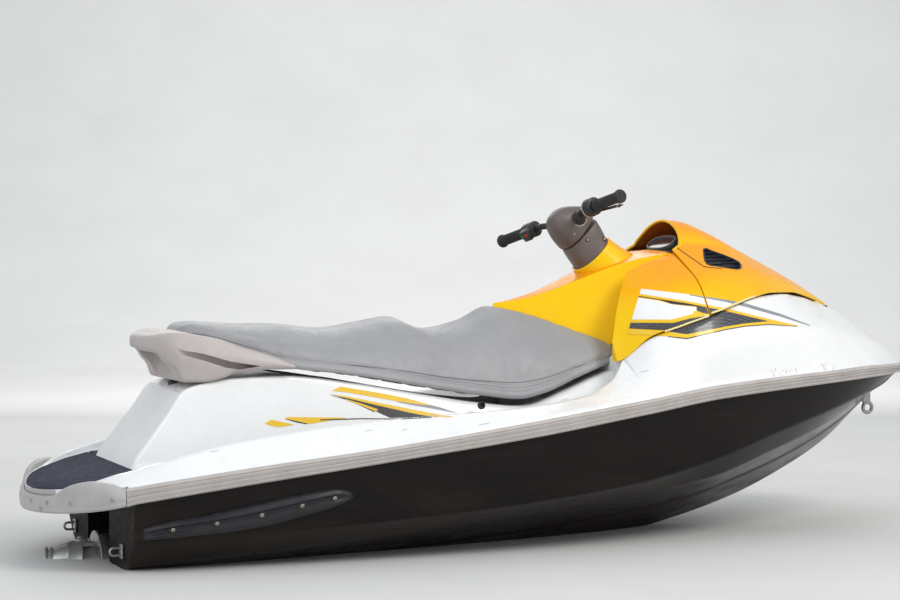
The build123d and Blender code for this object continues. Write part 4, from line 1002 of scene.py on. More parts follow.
NOSE = np.array([(3141.0, 145.0, 552.0, 520.0), (3165.0, 118.0, 551.0, 519.0), (3185.0, 90.0, 549.0, 518.0), (3200.0, 62.0, 546.0, 517.0), (3210.0, 38.0, 543.0, 517.0),
                 (3216.0, 20.0, 540.0, 519.0), (3219.0, 6.0, 536.0, 523.0)])
b = Build()
rows = []
for x in np.concatenate([np.linspace(3141, 3205, 14), [3208, 3211, 3213.5, 3215.5, 3217, 3218, 3218.8]]):
    w, zt_, zb = (float(pchip(NOSE[:, 0], NOSE[:, c], x)) for c in (1, 2, 3))
    zc = zt_ + 13 - 0.12 * (x - 3141)
    mid = (zt_ + zb) / 2
    half = [(0, zb - 4), (w * 0.5, zb - 3.6), (w * 0.8, zb - 1.5), (w * 0.93, zb + 2), (w * 0.99, zb + 7), (w * 0.965, mid - 1.5), (w * 0.965, mid + 1.5),
            (w * 0.995, zt_ - 8), (w * 0.96, zt_ - 3), (w * 0.86, zt_ + 1), (w * 0.6, zt_ + 5), (w * 0.3, zc - 2), (0, zc)]
    rows.append([(x, y, z) for y, z in half] + [(x, -y, z) for y, z in half[-2:0:-1]])
b.grid(np.array(rows), wrap_v=True, cap0=True, cap1=True)
for s in (-1, 1):
    d = np.array([0.62, s * 0.78, 0.0])
    p = np.array([3178.0, s * 99.0, 533.0])
    lathe(b, p - 5 * d, d, [(0, 16.0), (6.0, 16.0), (8.0, 15.0), (8.4, 13.2), (6.4, 11.6), (6.0, 9.0), (7.2, 7.0), (7.6, 0.01)], n=28, mat=0)
bow = b.make("bow_bumper_cap", [M["bumper"]], weld=0.05, angle=38, recalc=True)
ride(bow, "hull", "bow_bumper", slot="bumper_grey")


# ================================================================== eyes
def torus(b, c, n, R, r, nu=36, nv=14, mat=0):
    d, u, v = basis(n)
    rows = []
    for k in range(nu):
        a = 2 * math.pi * k / nu
        e = math.cos(a) * u + math.sin(a) * v
        rows.append(ring(np.asarray(c, float) + e * R, e, d, r, n=nv))
    b.grid(np.array(rows), wrap_u=True, wrap_v=True, mat=mat)


b = Build()
torus(b, (3092, 0, 385), (0, 1, 0), 18.5, 6.8)
round_box(b, (3086, 0, 434), (34, 13, 62), 5.0)
round_box(b, (3086, 0, 462), (50, 15, 8), 3.0)
eye = b.make("bow_eye_ring", [M["steel"]], weld=0.02, angle=35, recalc=True)
ride(eye, "hull", "bow_eye", slot="steel")
b = Build()
for s in (-1, 1):
    c = np.array([212.0, s * 330.0, 55.0])
    pts = []
    for k in range(25):
        a = math.pi / 2 + math.pi * k / 24
        pts.append(c + np.array([11.5 * math.cos(a), 0, 11.5 * math.sin(a)]))
    pts = [np.array([236.0, s * 330.0, 66.5])] + pts + [np.array([236.0, s * 330.0, 43.5])]
    sweep(b, pts, lambda i: ring((0, 0), (1, 0), (0, 1), 4.2, n=12), up=(0, 1, 0))
    round_box(b, (236.0, s * 330.0, 55.0), (7, 30, 46), 2.6)
    for dz in (-20.0, 20.0):
        screw(b, (232.6, s * 340.0, 55.0 + dz * 0.85), (-1, 0, 0), r=4.2)
eyes = b.make("stern_eye_bolts", [M["steel"]], weld=0.02, angle=35, recalc=True)
ride(eyes, "hull", "stern_eyes", slot="steel")

# ================================================================== bottom
# moulded liner of the pump tunnel and the intake, seen from below and behind
b = Build()
arc = [(-107.0, -118.0), (-107.0, -80.0), (-107.0, PUMP_Z)]
arc += [(-107.0 * math.cos(a), PUMP_Z + 107.0 * math.sin(a)) for a in np.linspace(0.08, math.pi - 0.08, 26)]
arc += [(107.0, PUMP_Z), (107.0, -80.0), (107.0, -118.0)]
xsq = [280.5, 300, 340, 380, 420, 450]
b.grid(np.array([[(x, y, z) for y, z in arc] for x in xsq]))
rows = []
for x in list(np.linspace(450, 660, 12)) + list(np.linspace(672, 790, 10)) + [797, 803, 806]:
    roof = float(np.interp(x, [440, 660, 790, 806], [60, 40, -100, -118]))
    pts = [(-87, -118), (-87, min(roof - 14, roof)), (-83, roof - 4), (-72, roof), (-30, roof), (30, roof), (72, roof), (83, roof - 4), (87, min(roof - 14, roof)), (87, -118)]
    rows.append([(x, y, max(z, -118)) for y, z in pts])
b.grid(np.array(rows))
annulus = [ring((450, 0, PUMP_Z), (0, 1, 0), (0, 0, 1), r, n=40) for r in (22.0, 70.0, 106.0)]
b.grid(np.array(annulus), wrap_v=True)
liner = b.make("pump_tunnel_liner", [M["black"]], weld=0.05, angle=30, recalc=True)
ride(liner, "hull")

b = Build()
for s in (-1, 1):
    lathe(b, (239, s * 205, -18), (-1, 0, 0), [(0, 19), (6, 19), (8.5, 17.6), (9, 13), (7.5, 12.2), (7.5, 8), (11, 7.2), (16, 6.6), (17, 5), (17, 0.01)], n=26, mat=0)
    round_box(b, (222.5, s * 205, -18), (9, 22, 5), 1.8, mat=0)
plug = b.make("drain_plug_pair", [M["black"]], weld=0.02, angle=35, recalc=True)
ride(plug, "hull")
b = Build()
lathe(b, (1437, -299, 462), (0.05, -1, 0.1), [(-4, 13), (2.0, 13), (4.2, 12), (4.6, 9.5), (3.2, 7.8), (-4, 7.0), (-6, 0.01)], n=26, mat=0)
outlet = b.make("pilot_water_outlet", [M["black"]], weld=0.02, angle=35, recalc=True)
ride(outlet, "hull")

# ================================================================== sponsons
SPON = np.array([(268.0, 104.0, 140.0, 13.0), (330.0, 108.0, 158.0, 26.0),
                 (470.0, 118.0, 180.0, 30.0), (620.0, 134.0, 208.0, 30.0),
                 (770.0, 166.0, 234.0, 28.0), (850.0, 186.0, 242.0, 21.0),
                 (895.0, 203.0, 232.0, 11.0), (908.0, 209.0, 224.0, 4.0)])


def side_y(x, z):
    bm_, zr_, zn_ = col(HULL, 1, x), col(HULL, 3, x), col(HULL, 4, x)
    return (bm_ - 50.0) + (z - zn_) / (zr_ - zn_) * 30.0


b = Build()
rows = []
for x in np.concatenate([[268, 269.5, 272], np.arange(278, 880, 11.0), [884, 890, 895, 900, 904, 907, 908]]):
    z0, z1, t = (float(pchip(SPON[:, 0], SPON[:, c], x)) for c in (1, 2, 3))
    if x < 278:
        t = t * (0.35 + 0.65 * math.sqrt(max((x - 267.5) / 10.5, 0)))
    h = z1 - z0
    ends = min(smooth(268, 300, x), 1 - smooth(840, 900, x))
    d = 7.0 * float(ends)
    pr = [(0.0, -4.0), (0.0, t * 0.55), (0.03, t * 0.82), (0.08, t * 0.95), (0.14, t), (0.26, t - 0.5), (0.32, t - 2.0), (0.36, t - d * 0.8), (0.40, t - d), (0.50, t - d - 0.3),
          (0.60, t - d), (0.645, t - d * 0.8), (0.69, t - 1.2), (0.76, t - 2.5), (0.90, t * 0.62), (0.97, t * 0.4), (1.0, t * 0.1), (1.0, -4.0)]
    rows.append([(x, -(float(side_y(x, z0 + h * u)) + o), z0 + h * u) for u, o in pr])
b.grid(np.array(rows), wrap_v=True, cap0=True, cap1=True)
for bx in (352.0, 482.0, 618.0, 742.0, 846.0):
    z0, z1, t = (float(pchip(SPON[:, 0], SPON[:, c], bx)) for c in (1, 2, 3))
    zm = z0 + (z1 - z0) * 0.5
    dd = 7.0 * float(min(smooth(268, 300, bx), 1 - smooth(840, 900, bx)))
    y0 = -(float(side_y(bx, zm)) + t - dd)
    nrm = np.array([0.0, -0.965, -0.26])
    p = np.array([bx, y0, zm])
    lathe(b, p - 2 * nrm, nrm, [(0, 13.0), (2.6, 13.0), (3.4, 12.0), (3.2, 10.4), (2.1, 10.0), (2.1, 0.01)], n=24, mat=1)
    screw(b, p + 0.4 * nrm, nrm, r=7.0, mat=2, h=3.4)
b.mirrored()
spon = b.make("sponson_blades", [M["sponson"], M["black"], M["screw"]], weld=0.01, angle=32, recalc=True)
ride(spon, "hull", "sponsons", slot="sponson_charcoal")


# ================================================================== mats
def mat_grid(b, outline, step=4.0, pitch=15.0, mat=0):
    """foam mat on the floor with pressed diamond grooves; outline is (x, y lower, y upper)."""
    o = np.array(outline, float)
    xs_ = np.arange(o[0, 0], o[-1, 0] + 0.01, step)
    xs_[-1] = o[-1, 0]
    nv = max(int((np.max(o[:, 2] - o[:, 1])) / step), 6)
    rows = []
    for x in xs_:
        ya, yb = np.interp(x, o[:, 0], o[:, 1]), np.interp(x, o[:, 0], o[:, 2])
        y = np.linspace(ya, yb, nv)
        u = (x + y) / pitch
        v = (x - y) / pitch
        cut_ = np.minimum(np.abs(u - np.round(u)), np.abs(v - np.round(v))) * pitch
        edge = np.minimum(np.minimum(y - ya, yb - y), min(x - xs_[0], xs_[-1] - x))
        z = 4.9 - 2.0 * np.exp(-(cut_ / 1.9) ** 2) * (edge > 9.0)
        z = np.where(edge < 0.5, 0.2, np.where(edge < 5.0, np.minimum(z, 4.2), z))
        z = np.where((edge > 5.5) & (edge < 9.5), 3.4, z)
        rows.append(np.stack([np.full(nv, x), y, lin(FLOOR, x) + z], 1))
    b.grid(np.array(rows), mat=mat)


b = Build()
mid = [(22, 44), (30, 100), (44, 154), (60, 206), (76, 244), (98, 269), (120, 296), (165, 326), (210, 352), (250, 363), (291, 373)]
mat_grid(b, [(x, -w, w) for x, w in mid])
mat_grid(b, [(292, 262, 373), (300, 266, 374.5), (345, 276, 384), (404.5, 285, 395)])
mat_grid(b, [(292, -373, -262), (300, -374.5, -266), (345, -384, -276), (404.5, -395, -285)])
pm = b.make("platform_mat_foam", [M["mat"]], weld=0.05, angle=50, recalc=False)
ride(pm, "hull", "platform_mat", slot="mat_foam")
b = Build()
fp = [(424, 292, 399), (620, 300, 415), (900, 308, 427), (1200, 314, 434), (1500, 318, 439), (1740, 322, 419), (1800, 330, 402), (1840, 336, 386)]
mat_grid(b, fp)
mat_grid(b, [(x, -w1, -w0) for x, w0, w1 in fp])
fm = b.make("footwell_mats_foam", [M["mat"]], weld=0.05, angle=50, recalc=False)
ride(fm, "hull", "footwell_mats", slot="mat_foam")

# ================================================================== pump
b = Build()
prof = [(0, 80), (0, 91), (3, 92), (40, 92), (44, 89.5), (90, 89.5), (94, 92), (188, 92), (192, 97), (213, 98), (214, 96), (214, 80), (200, 79.6), (100, 79.8)]
lathe(b, (236, 0, PUMP_Z), (1, 0, 0), [(t, r) for t, r in prof] + [(0, 80)], n=56, closed=False)
for k in range(6):
    a = math.pi / 6 + k * math.pi / 3
    e = np.array([0, math.cos(a), math.sin(a)])
    round_box(b, np.array([332.0, 0, PUMP_Z]) + e * 90.5, (180, 5.5, 4.0), 1.6, axes=((1, 0, 0), tuple(np.cross((1, 0, 0), e)), tuple(e)))
    lathe(b, np.array([426.0, 0, PUMP_Z]) + e * 91.0, (-1, 0, 0), [(-2, 5.5), (5, 5.5), (6, 4.6), (6, 0.01)], n=6)
# guide vanes behind the impeller
for k in range(7):
    a = k * 2 * math.pi / 7
    e = np.array([0, math.cos(a), math.sin(a)])
    f = np.cross((1, 0, 0), e)
    rows = []
    for t in np.linspace(0, 1, 7):
        x = 240 + 22 * t
        off = 10 * (1 - t) ** 2
        rows.append([np.array([x, 0, PUMP_Z]) + e * r + f * (off + w) for r, w in ((24, -1.2), (80, -1.2), (80, 1.2), (24, 1.2))])
    b.grid(np.array(rows), wrap_v=True, cap0=True, cap1=True)
lathe(b, (238, 0, PUMP_Z), (1, 0, 0), [(0, 16), (3, 24), (24, 27), (26, 24), (26, 0.01)], n=30)
housing = b.make("pump_housing_case", [M["alloy"]], weld=0.02, angle=32, recalc=True)
ride(housing, "hull", "pump_housing", slot="pump_alloy")

b = Build()
lathe(b, (236, 0, PUMP_Z), (-1, 0, 0), [(0, 79), (0, 103), (1.2, 104), (7, 104), (8.4, 102.6), (9, 96), (11, 70), (14, 56), (30, 53), (60, 50), (69, 49), (71, 48), (71, 42), (40, 44), (9, 47), (6, 60), (5, 78), (0, 79)], n=56)
for k in range(4):
    a = math.pi / 4 + k * math.pi / 2
    e = np.array([0, math.cos(a), math.sin(a)])
    lathe(b, np.array([228.0, 0, PUMP_Z]) + e * 93.0, (-1, 0, 0), [(-3, 8), (0.8, 8), (1.6, 7), (1.6, 6.0), (6.4, 5.7), (7.2, 4.6), (7.2, 0.01)], n=18)
for s in (-1, 1):
    round_box(b, (200, 0, PUMP_Z + s * 62), (58, 26, 16), 4.0)
    round_box(b, (184, 0, PUMP_Z + s * 69), (28, 24, 26), 5.0)
    lathe(b, (NOZZLE_X, 0, PUMP_Z + s * 50), (0, 0, s), [(0, 5.8), (34, 5.8), (34.5, 9), (37.2, 9), (38, 8), (38, 0.01)], n=20)
nz = b.make("pump_nozzle_cone", [M["alloy"]], weld=0.02, angle=32, recalc=True)
ride(nz, "hull", "pump_nozzle", slot="pump_alloy")

# steering nozzle, turned with the bar at rest
b = Build()
lathe(b, (192, 0, PUMP_Z), (-1, 0, 0), [(0, 71), (0, 77), (1, 78), (40, 72.4), (44, 73.4), (50, 71), (92, 53.6), (95, 53.4), (96, 55.4), (98, 56), (106, 56), (108, 54), (108.5, 48), (112, 47.5), (113, 49), (113, 54), (114.5, 56), (120, 56), (122, 54.5), (122, 45), (100, 45), (94, 46), (42, 65), (20, 68), (0, 71)], n=56)
for k in range(8):
    a = math.pi / 8 + k * math.pi / 4
    e = np.array([0, math.cos(a), math.sin(a)])
    t = np.array([-math.cos(0.33), 0, 0]) - math.sin(0.33) * e
    t /= np.linalg.norm(t)
    up_ = np.cross(np.cross(t, e), t)
    round_box(b, np.array([121.0, 0, PUMP_Z]) + e * 63.5, (50, 3.6, 6), 1.2, axes=(tuple(t), tuple(np.cross(t, e) / np.linalg.norm(np.cross(t, e))), tuple(up_ / np.linalg.norm(up_))))
for s in (-1, 1):
    lathe(b, (NOZZLE_X, 0, PUMP_Z + s * 71), (0, 0, s), [(0, 15), (6, 14), (6.5, 8), (6.5, 6.6)], n=24)
rows = []
for x, w in [(150, 5), (155, 8), (163, 10), (171, 8), (176, 5)]:
    rows.append([(x, y, PUMP_Z + z) for y, z in ((-70, -6), (-104 - w * 0.6, -6), (-107 - w * 0.3, -3), (-107 - w * 0.3, 3), (-104 - w * 0.6, 6), (-70, 6))])
b.grid(np.array(rows), wrap_v=True, cap0=True, cap1=True)
V = np.array(b.v)
ca, sa = math.cos(math.radians(-15)), math.sin(math.radians(-15))
dx, dy = V[:, 0] - NOZZLE_X, V[:, 1].copy()
V[:, 0] = NOZZLE_X + ca * dx - sa * dy
V[:, 1] = sa * dx + ca * dy
b.v = V.tolist()
sn = b.make("steering_nozzle_cone", [M["alloy"]], weld=0.02, angle=32, recalc=True)
ride(sn, "nozzle", "steering_nozzle", slot="pump_alloy")

# impeller: three twisted blades on a hub
b = Build()
lathe(b, (268, 0, PUMP_Z), (1, 0, 0), [(0, 8), (2, 11), (28, 29), (34, 30), (108, 30), (112, 27), (112, 12)], n=40)
for k in range(3):
    rows = []
    for i in range(13):
        t = i / 12.0
        x = 304 + 68 * t
        a0 = 2 * math.pi * k / 3 + 1.75 * (t - 0.5)
        row = []
        for r in np.linspace(29, 73.5, 8):
            row.append((r, a0 + 0.10 * (r - 29) / 44.5, 1))
        th_ = 1.6 * (1 - abs(2 * t - 1) ** 3) + 0.5
        up_ = [(x, r * math.cos(a) - th_ * math.sin(a) * 0.8, PUMP_Z + r * math.sin(a) + th_ * math.cos(a) * 0.8) for r, a, _ in row]
        dn_ = [(x + th_ * 0.9, r * math.cos(a) + th_ * math.sin(a) * 0.8, PUMP_Z + r * math.sin(a) - th_ * math.cos(a) * 0.8) for r, a, _ in row]
        rows.append(up_ + dn_[::-1])
    b.grid(np.array(rows), wrap_v=True, cap0=True, cap1=True)
imp = b.make("impeller_wheel", [M["steel"]], weld=0.02, angle=32, recalc=True)
ride(imp, "impeller", "impeller", slot="impeller_steel")
b = Build()
lathe(b, (330, 0, PUMP_Z), (1, 0, 0), [(0, 11), (1, 12), (640, 12), (644, 14), (645, 23), (647, 24), (655, 24), (656, 20), (662, 20), (663, 24), (671, 24), (673, 22.5), (680, 22), (680, 0.01)], n=32)
sh = b.make("drive_shaft_bar", [M["steel"]], weld=0.02, angle=32, recalc=True)
ride(sh, "impeller", "drive_shaft", slot="impeller_steel")

b = Build()
for y in (-60, -30, 0, 30, 60):
    rows = []
    for x in np.linspace(550, 802, 30):
        bow_ = 2.0 * math.sin(math.pi * (x - 550) / 252)
        rows.append([(x, y + a, -120.5 - bow_ * 0.4 + c) for a, c in ((-3.6, 3), (-3.6, -2), (-2.2, -4.4), (0, -5.2), (2.2, -4.4), (3.6, -2), (3.6, 3), (1.8, 7.5), (-1.8, 7.5))])
    b.grid(np.array(rows), wrap_v=True, cap0=True, cap1=True)
round_box(b, (556, 0, -117), (19, 178, 17), 4)
round_box(b, (798, 0, -115), (19, 178, 20), 4)
for y in (-74, 74):
    for x in (556, 798):
        screw(b, (x, y, -125.2 if x < 600 else -124.8), (0, 0, -1), r=6)
gr = b.make("intake_grate_bars", [M["alloy"]], weld=0.02, angle=35, recalc=True)
ride(gr, "hull", "intake_grate", slot="grate_alloy")

b = Build()
rows = []
for x in np.concatenate([[228, 229.5, 233], np.linspace(242, 526, 40), [533, 536.5, 538]]):
    zb = np.interp(x, [228, 538], [-152, -138]) + 0.3
    zt_ = np.interp(x, [228, 538], [-136, -121])
    e = 3.5 * (1 - min(smooth(228, 236, x), 1 - smooth(530, 538, x)))
    w = 145.5 - e
    half = [(0, zb)]
    for y in np.linspace(10, 130, 13):
        half.append((y, zb + (2.2 if int(round((y - 10) / 10)) % 3 == 1 else 0.0)))
    half += [(w - 6, zb + 0.5 + e * 0.6), (w - 1.5, zb + 3 + e * 0.5), (w, zb + 7), (w, zt_ - 2), (w - 2, zt_), (0, zt_)]
    rows.append([(x, y, z) for y, z in half] + [(x, -y, z) for y, z in half[-2:0:-1]])
b.grid(np.array(rows), wrap_v=True, cap0=True, cap1=True)
for y in (-118, 118):
    for x in (252, 380, 510):
        screw(b, (x, y, float(np.interp(x, [228, 538], [-152, -138])) + 0.5), (0, 0, -1), r=7)
rp = b.make("ride_plate_casting", [M["alloy"]], weld=0.02, angle=35, recalc=True)
ride(rp, "hull", "ride_plate", slot="pump_alloy")

# ================================================================== seat
def cut_and_mirror(b, cuts, name, mats, weld=0.05, angle=35.0, mirror=True, bevel=0.0):
    """b holds the port half. cuts: (point, normal, fill); what lies on the normal's side goes."""
    bm = bmesh.new()
    vs = [bm.verts.new(v) for v in b.v]
    for f, m in zip(b.f, b.m):
        if len(set(f)) >= 3:
            try:
                bm.faces.new([vs[i] for i in f]).material_index = m
            except ValueError:
                pass
    bmesh.ops.remove_doubles(bm, verts=bm.verts, dist=weld)
    for p, n, fill in cuts:
        geom = bm.verts[:] + bm.edges[:] + bm.faces[:]
        r = bmesh.ops.bisect_plane(bm, geom=geom, dist=1e-4, plane_co=Vector(p), plane_no=Vector(n), clear_outer=True, clear_inner=False)
        if not fill:
            continue
        edges = [e for e in r["geom_cut"] if isinstance(e, bmesh.types.BMEdge) and e.is_valid]
        nxt = {}
        for e in edges:
            for v in e.verts:
                nxt.setdefault(v, []).append(e)
        used = set()
        ends = [v for v, es in nxt.items() if len(es) == 1]
        starts = ends + list(nxt)
        for s0 in starts:
            if s0 in used:
                continue
            chain, v = [s0], s0
            used.add(s0)
            while True:
                step = [e.other_vert(v) for e in nxt[v] if e.other_vert(v) not in used]
                if not step:
                    break
                v = step[0]
                used.add(v)
                chain.append(v)
            if len(chain) > 2:
                try:
                    bm.faces.new(chain)
                except ValueError:
                    pass
    if mirror:
        for v in bm.verts:
            if abs(v.co.y) < 0.05:
                v.co.y = 0.0
        geom = bm.verts[:] + bm.edges[:] + bm.faces[:]
        r = bmesh.ops.duplicate(bm, geom=geom)
        nv = [g for g in r["geom"] if isinstance(g, bmesh.types.BMVert)]
        nf = [g for g in r["geom"] if isinstance(g, bmesh.types.BMFace)]
        for v in nv:
            v.co.y = -v.co.y
        bmesh.ops.reverse_faces(bm, faces=nf)
        bmesh.ops.remove_doubles(bm, verts=bm.verts, dist=weld)
    bmesh.ops.dissolve_degenerate(bm, dist=1e-4, edges=bm.edges)
    bmesh.ops.recalc_face_normals(bm, faces=bm.faces)
    for v in bm.verts:
        v.co = Vector(((v.co.x - S) / 1000.0, v.co.y / 1000.0, v.co.z / 1000.0))
    me = bpy.data.meshes.new(name)
    bm.to_mesh(me)
    bm.free()
    ob = bpy.data.objects.new(name, me)
    bpy.context.scene.collection.objects.link(ob)
    for m in mats:
        me.materials.append(m)
    if bevel:
        bv = ob.modifiers.new("soft_edges", "BEVEL")
        bv.width = bevel / 1000.0
        bv.segments = 2
        bv.limit_method = "ANGLE"
        bv.angle_limit = math.radians(34)
        bake_modifiers(ob)
    shade(ob, angle)
    return ob


SL = math.radians(50.0)
PLANE_A = np.array([1604.0, 0.0, 786.0])
PLANE_N = np.cross(np.array([396.0, 205.0, -166.0]), np.array([math.cos(SL), 0.0, math.sin(SL)]))
PLANE_N = PLANE_N / np.linalg.norm(PLANE_N)
if PLANE_N[0] < 0:
    PLANE_N = -PLANE_N          # points forward, into the console


def seat_profile(xs, lip=True):
    c = [col(SEAT, k, xs) for k in range(1, 8)]
    wl, zl, ws, zs, wt, zt, zc = c
    o = 0 * xs
    K = [(o, zl + 13), (wl - 19, zl + 13), (wl - 15, zl + 1), (wl - 1.5, zl + 0.5), (wl + 0.5, zl + 12), (ws + 2, zs), (wt + 2, zt + 2), (o, zc)]
    K = np.stack([np.stack([a, c2], -1) for a, c2 in K], 1)
    return rounded(K, [1.5, 3, 5, 9, 75, 95], [6, 2, 2, 2, 26, 12, 12], na=6)


xs = stations(479, 1985, 6.0, extra=(480.5, 482.5, 485.0, 488.5, 493.0))
P = seat_profile(xs)
V = np.concatenate([np.repeat(xs[:, None, None], P.shape[1], 1), P], -1)
# arc length up the outside from the lower edge, for the welt and its stitching
seg = np.linalg.norm(np.diff(P, axis=1), axis=2)
arc = np.concatenate([np.zeros((len(xs), 1)), np.cumsum(seg, axis=1)], 1)
low_i = 6 + 7 + 2 + 7 + 2 + 7 + 2 + 4
arc = arc - arc[:, low_i:low_i + 1]
# outward normals of the section
T = np.gradient(P, axis=1)
N = np.stack([T[..., 1], -T[..., 0]], -1)
N /= np.maximum(np.linalg.norm(N, axis=2), 1e-9)[..., None]
X = V[..., 0]
disp = -2.6 * np.exp(-((arc - 25) / 2.6) ** 2) + 1.6 * np.exp(-((arc - 19) / 3.0) ** 2) - 1.5 * np.exp(-((arc - 33) / 2.0) ** 2)
top_side = smooth(30, 60, arc)
rng_ = np.random.default_rng(7)
soft = 0 * disp
for k in range(14):
    fx, fa, ph = rng_.uniform(0.006, 0.030), rng_.uniform(0.01, 0.045), rng_.uniform(0, 6.28)
    soft += rng_.uniform(0.15, 0.4) * np.sin(X * fx + arc * fa * (1 if k % 2 else -1) + ph)
disp += soft * top_side * 0.75
# pulled folds where the saddle dips between the places
for x0, amp, wd in ((930.0, 1.7, 9.0), (958.0, 1.9, 7.0), (984.0, 1.3, 8.0), (1335.0, 2.0, 8.0), (1362.0, 2.2, 7.0), (1392.0, 1.5, 9.0), (566.0, 1.0, 8.0)):
    bend = X - (x0 + 26.0 * np.sin(arc / 90.0 + x0))
    disp -= amp * np.exp(-(bend / wd) ** 2) * top_side * np.exp(-((arc - 150) / 120.0) ** 2)
outside = (np.arange(P.shape[1]) >= low_i)[None, :] * smooth(0, 6, arc)
disp = disp * outside
V[..., 1] += N[..., 0] * disp
V[..., 2] += N[..., 1] * disp
# the rear edge rolls under
endk = np.clip((X - 478.0) / 26.0, 0, 1)
roll = 1 - np.sqrt(np.maximum(1 - (1 - endk) ** 2, 0))
zmid = (col(SEAT, 2, xs) + 18)[:, None]
V[..., 2] = V[..., 2] - (V[..., 2] - zmid) * roll * 0.75 * (V[..., 2] > zmid)
V[..., 1] *= 1 - 0.06 * roll
# the edge against the console rolls down as well
d = -((V[..., 0] - PLANE_A[0]) * PLANE_N[0] + (V[..., 1] - PLANE_A[1]) * PLANE_N[1] + (V[..., 2] - PLANE_A[2]) * PLANE_N[2])
gap = 3.0
r_ = 15.0
e = np.clip((d - gap) / r_, 0, 1)
drop = r_ * (1 - np.sqrt(np.maximum(1 - (1 - e) ** 2, 0))) * (V[..., 2] > zmid + 20)
V[..., 2] -= drop * 0.8
b = Build()
b.grid(V, cap0=True, cap1=True)
pnt = PLANE_A - PLANE_N * gap
seat = cut_and_mirror(b, [(tuple(pnt), tuple(PLANE_N), True)], "seat_cushion_vinyl", [M["seat"]], weld=0.1, angle=50)
ride(seat, "seat", "seat_cushion", slot="seat_vinyl")

# piping sewn into the joint above the lower edge
b = Build()
j = int(np.argmin(np.abs(arc[60] - 22.0)))
pipe = []
for i in range(4, len(xs)):
    w = np.array([xs[i], V[i, j, 1], V[i, j, 2]])
    if np.dot(w - pnt, PLANE_N) < -6:
        pipe.append(w)
pipe = np.array(pipe)
sweep(b, pipe, lambda i: ring((0, 0), (1, 0), (0, 1), 2.7, n=8))
b.mirrored()
piping = b.make("seat_piping", [M["piping"]], weld=0.01, angle=60, recalc=True)
ride(piping, "seat", slot="seat_vinyl")

b = Build()
xs2 = stations(480, 1920, 14.0)
wl, zl = col(SEAT, 1, xs2), col(SEAT, 2, xs2)
o = 0 * xs2
rib = 3.0 * (np.round((xs2 - 480) / 14.0) % 6 == 0)
K = [(o, zl + 1 - rib), (wl * 0.33, zl + 1 - rib), (wl * 0.35, zl + 4), (wl * 0.62, zl + 4), (wl * 0.64, zl + 1 - rib), (wl - 30, zl + 1 - rib), (wl - 22, zl + 1), (wl - 19.5, zl + 4), (wl - 19.5, zl + 13.5), (o, zl + 13.5)]
P2 = np.stack([np.stack([a, c2], -1) for a, c2 in K], 1)
V2 = np.concatenate([np.repeat(xs2[:, None, None], P2.shape[1], 1), P2], -1)
b.grid(V2, cap0=True, cap1=True)
sb = cut_and_mirror(b, [(tuple(pnt - 4 * PLANE_N), tuple(PLANE_N), True)], "seat_base_tray", [M["black"]], weld=0.1, angle=30)
ride(sb, "seat", "seat_base", slot="plastic_black")

# ================================================================== grab handle
b = Build()
hx = np.concatenate([[351.5, 352.2, 353.5, 355.5, 358, 361.5, 366], np.arange(372, 812, 6.0), [815]])
w0 = pchip(np.r_[351.0, 356, 372, HANDLE[2:, 0]], np.r_[4.0, 42, 98, HANDLE[2:, 1]], hx)
w1 = pchip(np.r_[351.0, 356, 372, HANDLE[2:, 0]], np.r_[4.0, 38, 94, HANDLE[2:, 3]], hx)
z0 = pchip(np.r_[351.0, 356, 372, HANDLE[2:, 0]], np.r_[677.0, 668, 658, HANDLE[2:, 2]], hx)
z1 = pchip(np.r_[351.0, 356, 372, HANDLE[2:, 0]], np.r_[681.0, 691, 699, HANDLE[2:, 4]], hx)
o = 0 * hx
bul = 8.0 * smooth(351, 366, hx)
K = [(o, z0), (w0, z0), (w0 + bul, (z0 + z1) / 2), (w1 + bul * 0.4, z1), (o, z1 + 4)]
K = np.stack([np.stack([a, c2], -1) for a, c2 in K], 1)
Ph = rounded(K, [13, 22, 16], [8, 3, 3, 10], na=6)
full = np.concatenate([Ph, Ph[:, -2:0:-1] * np.array([-1, 1])], 1)
b.grid(np.concatenate([np.repeat(hx[:, None, None], full.shape[1], 1), full], -1), wrap_v=True, cap0=True, cap1=True)
handle = b.make("grab_handle_moulding", [M["handle"]], weld=0.02, angle=40, recalc=True)
cutters = []
for s in (-1, 1):
    c = Build()
    g = [np.array([x, z]) for x, z in GROOVE]
    pts = []
    for i in range(len(g)):          # softened outline
        b_, c_ = g[i], g[(i + 1) % len(g)]
        for t in (0.0, 0.35, 0.65):
            pts.append(b_ * (1 - t) + c_ * t)
    ys = (205.0, 330.0)
    c.grid(np.array([[(p[0], s * y, p[1]) for p in pts] for y in ys]), wrap_v=True, cap0=True, cap1=True)
    cutters.append(c.make("cutter", weld=0.01, recalc=True))
c = Build()
round_box(c, (433, 0, 600), (62, 236, 152), 14)
cutters.append(c.make("cutter", weld=0.01, recalc=True))


def carve(ob, tools):
    for t in tools:
        m = ob.modifiers.new("carve", "BOOLEAN")
        m.operation = "DIFFERENCE"
        m.solver = "EXACT"
        m.object = t
    bake_modifiers(ob)
    for t in tools:
        bpy.data.objects.remove(t, do_unlink=True)


carve(handle, cutters)
bv = handle.modifiers.new("soft", "BEVEL")
bv.width, bv.segments, bv.limit_method, bv.angle_limit = 0.0022, 2, "ANGLE", math.radians(48)
bake_modifiers(handle)
shade(handle, 40)
ride(handle, "seat", "grab_handle", slot="handle_grey")
b = Build()
lathe(b, (486, 0, 535), (0, 0, 1), [(0, 14), (1.5, 16), (12, 16), (15, 14), (16, 9), (20, 8), (20, 0.01)], n=28)
round_box(b, (486, 0, 546), (10, 31, 6), 2)
lt = b.make("seat_latch_button", [M["black"]], weld=0.02, angle=35, recalc=True)
ride(lt, "hull", "seat_latch", slot="plastic_black")

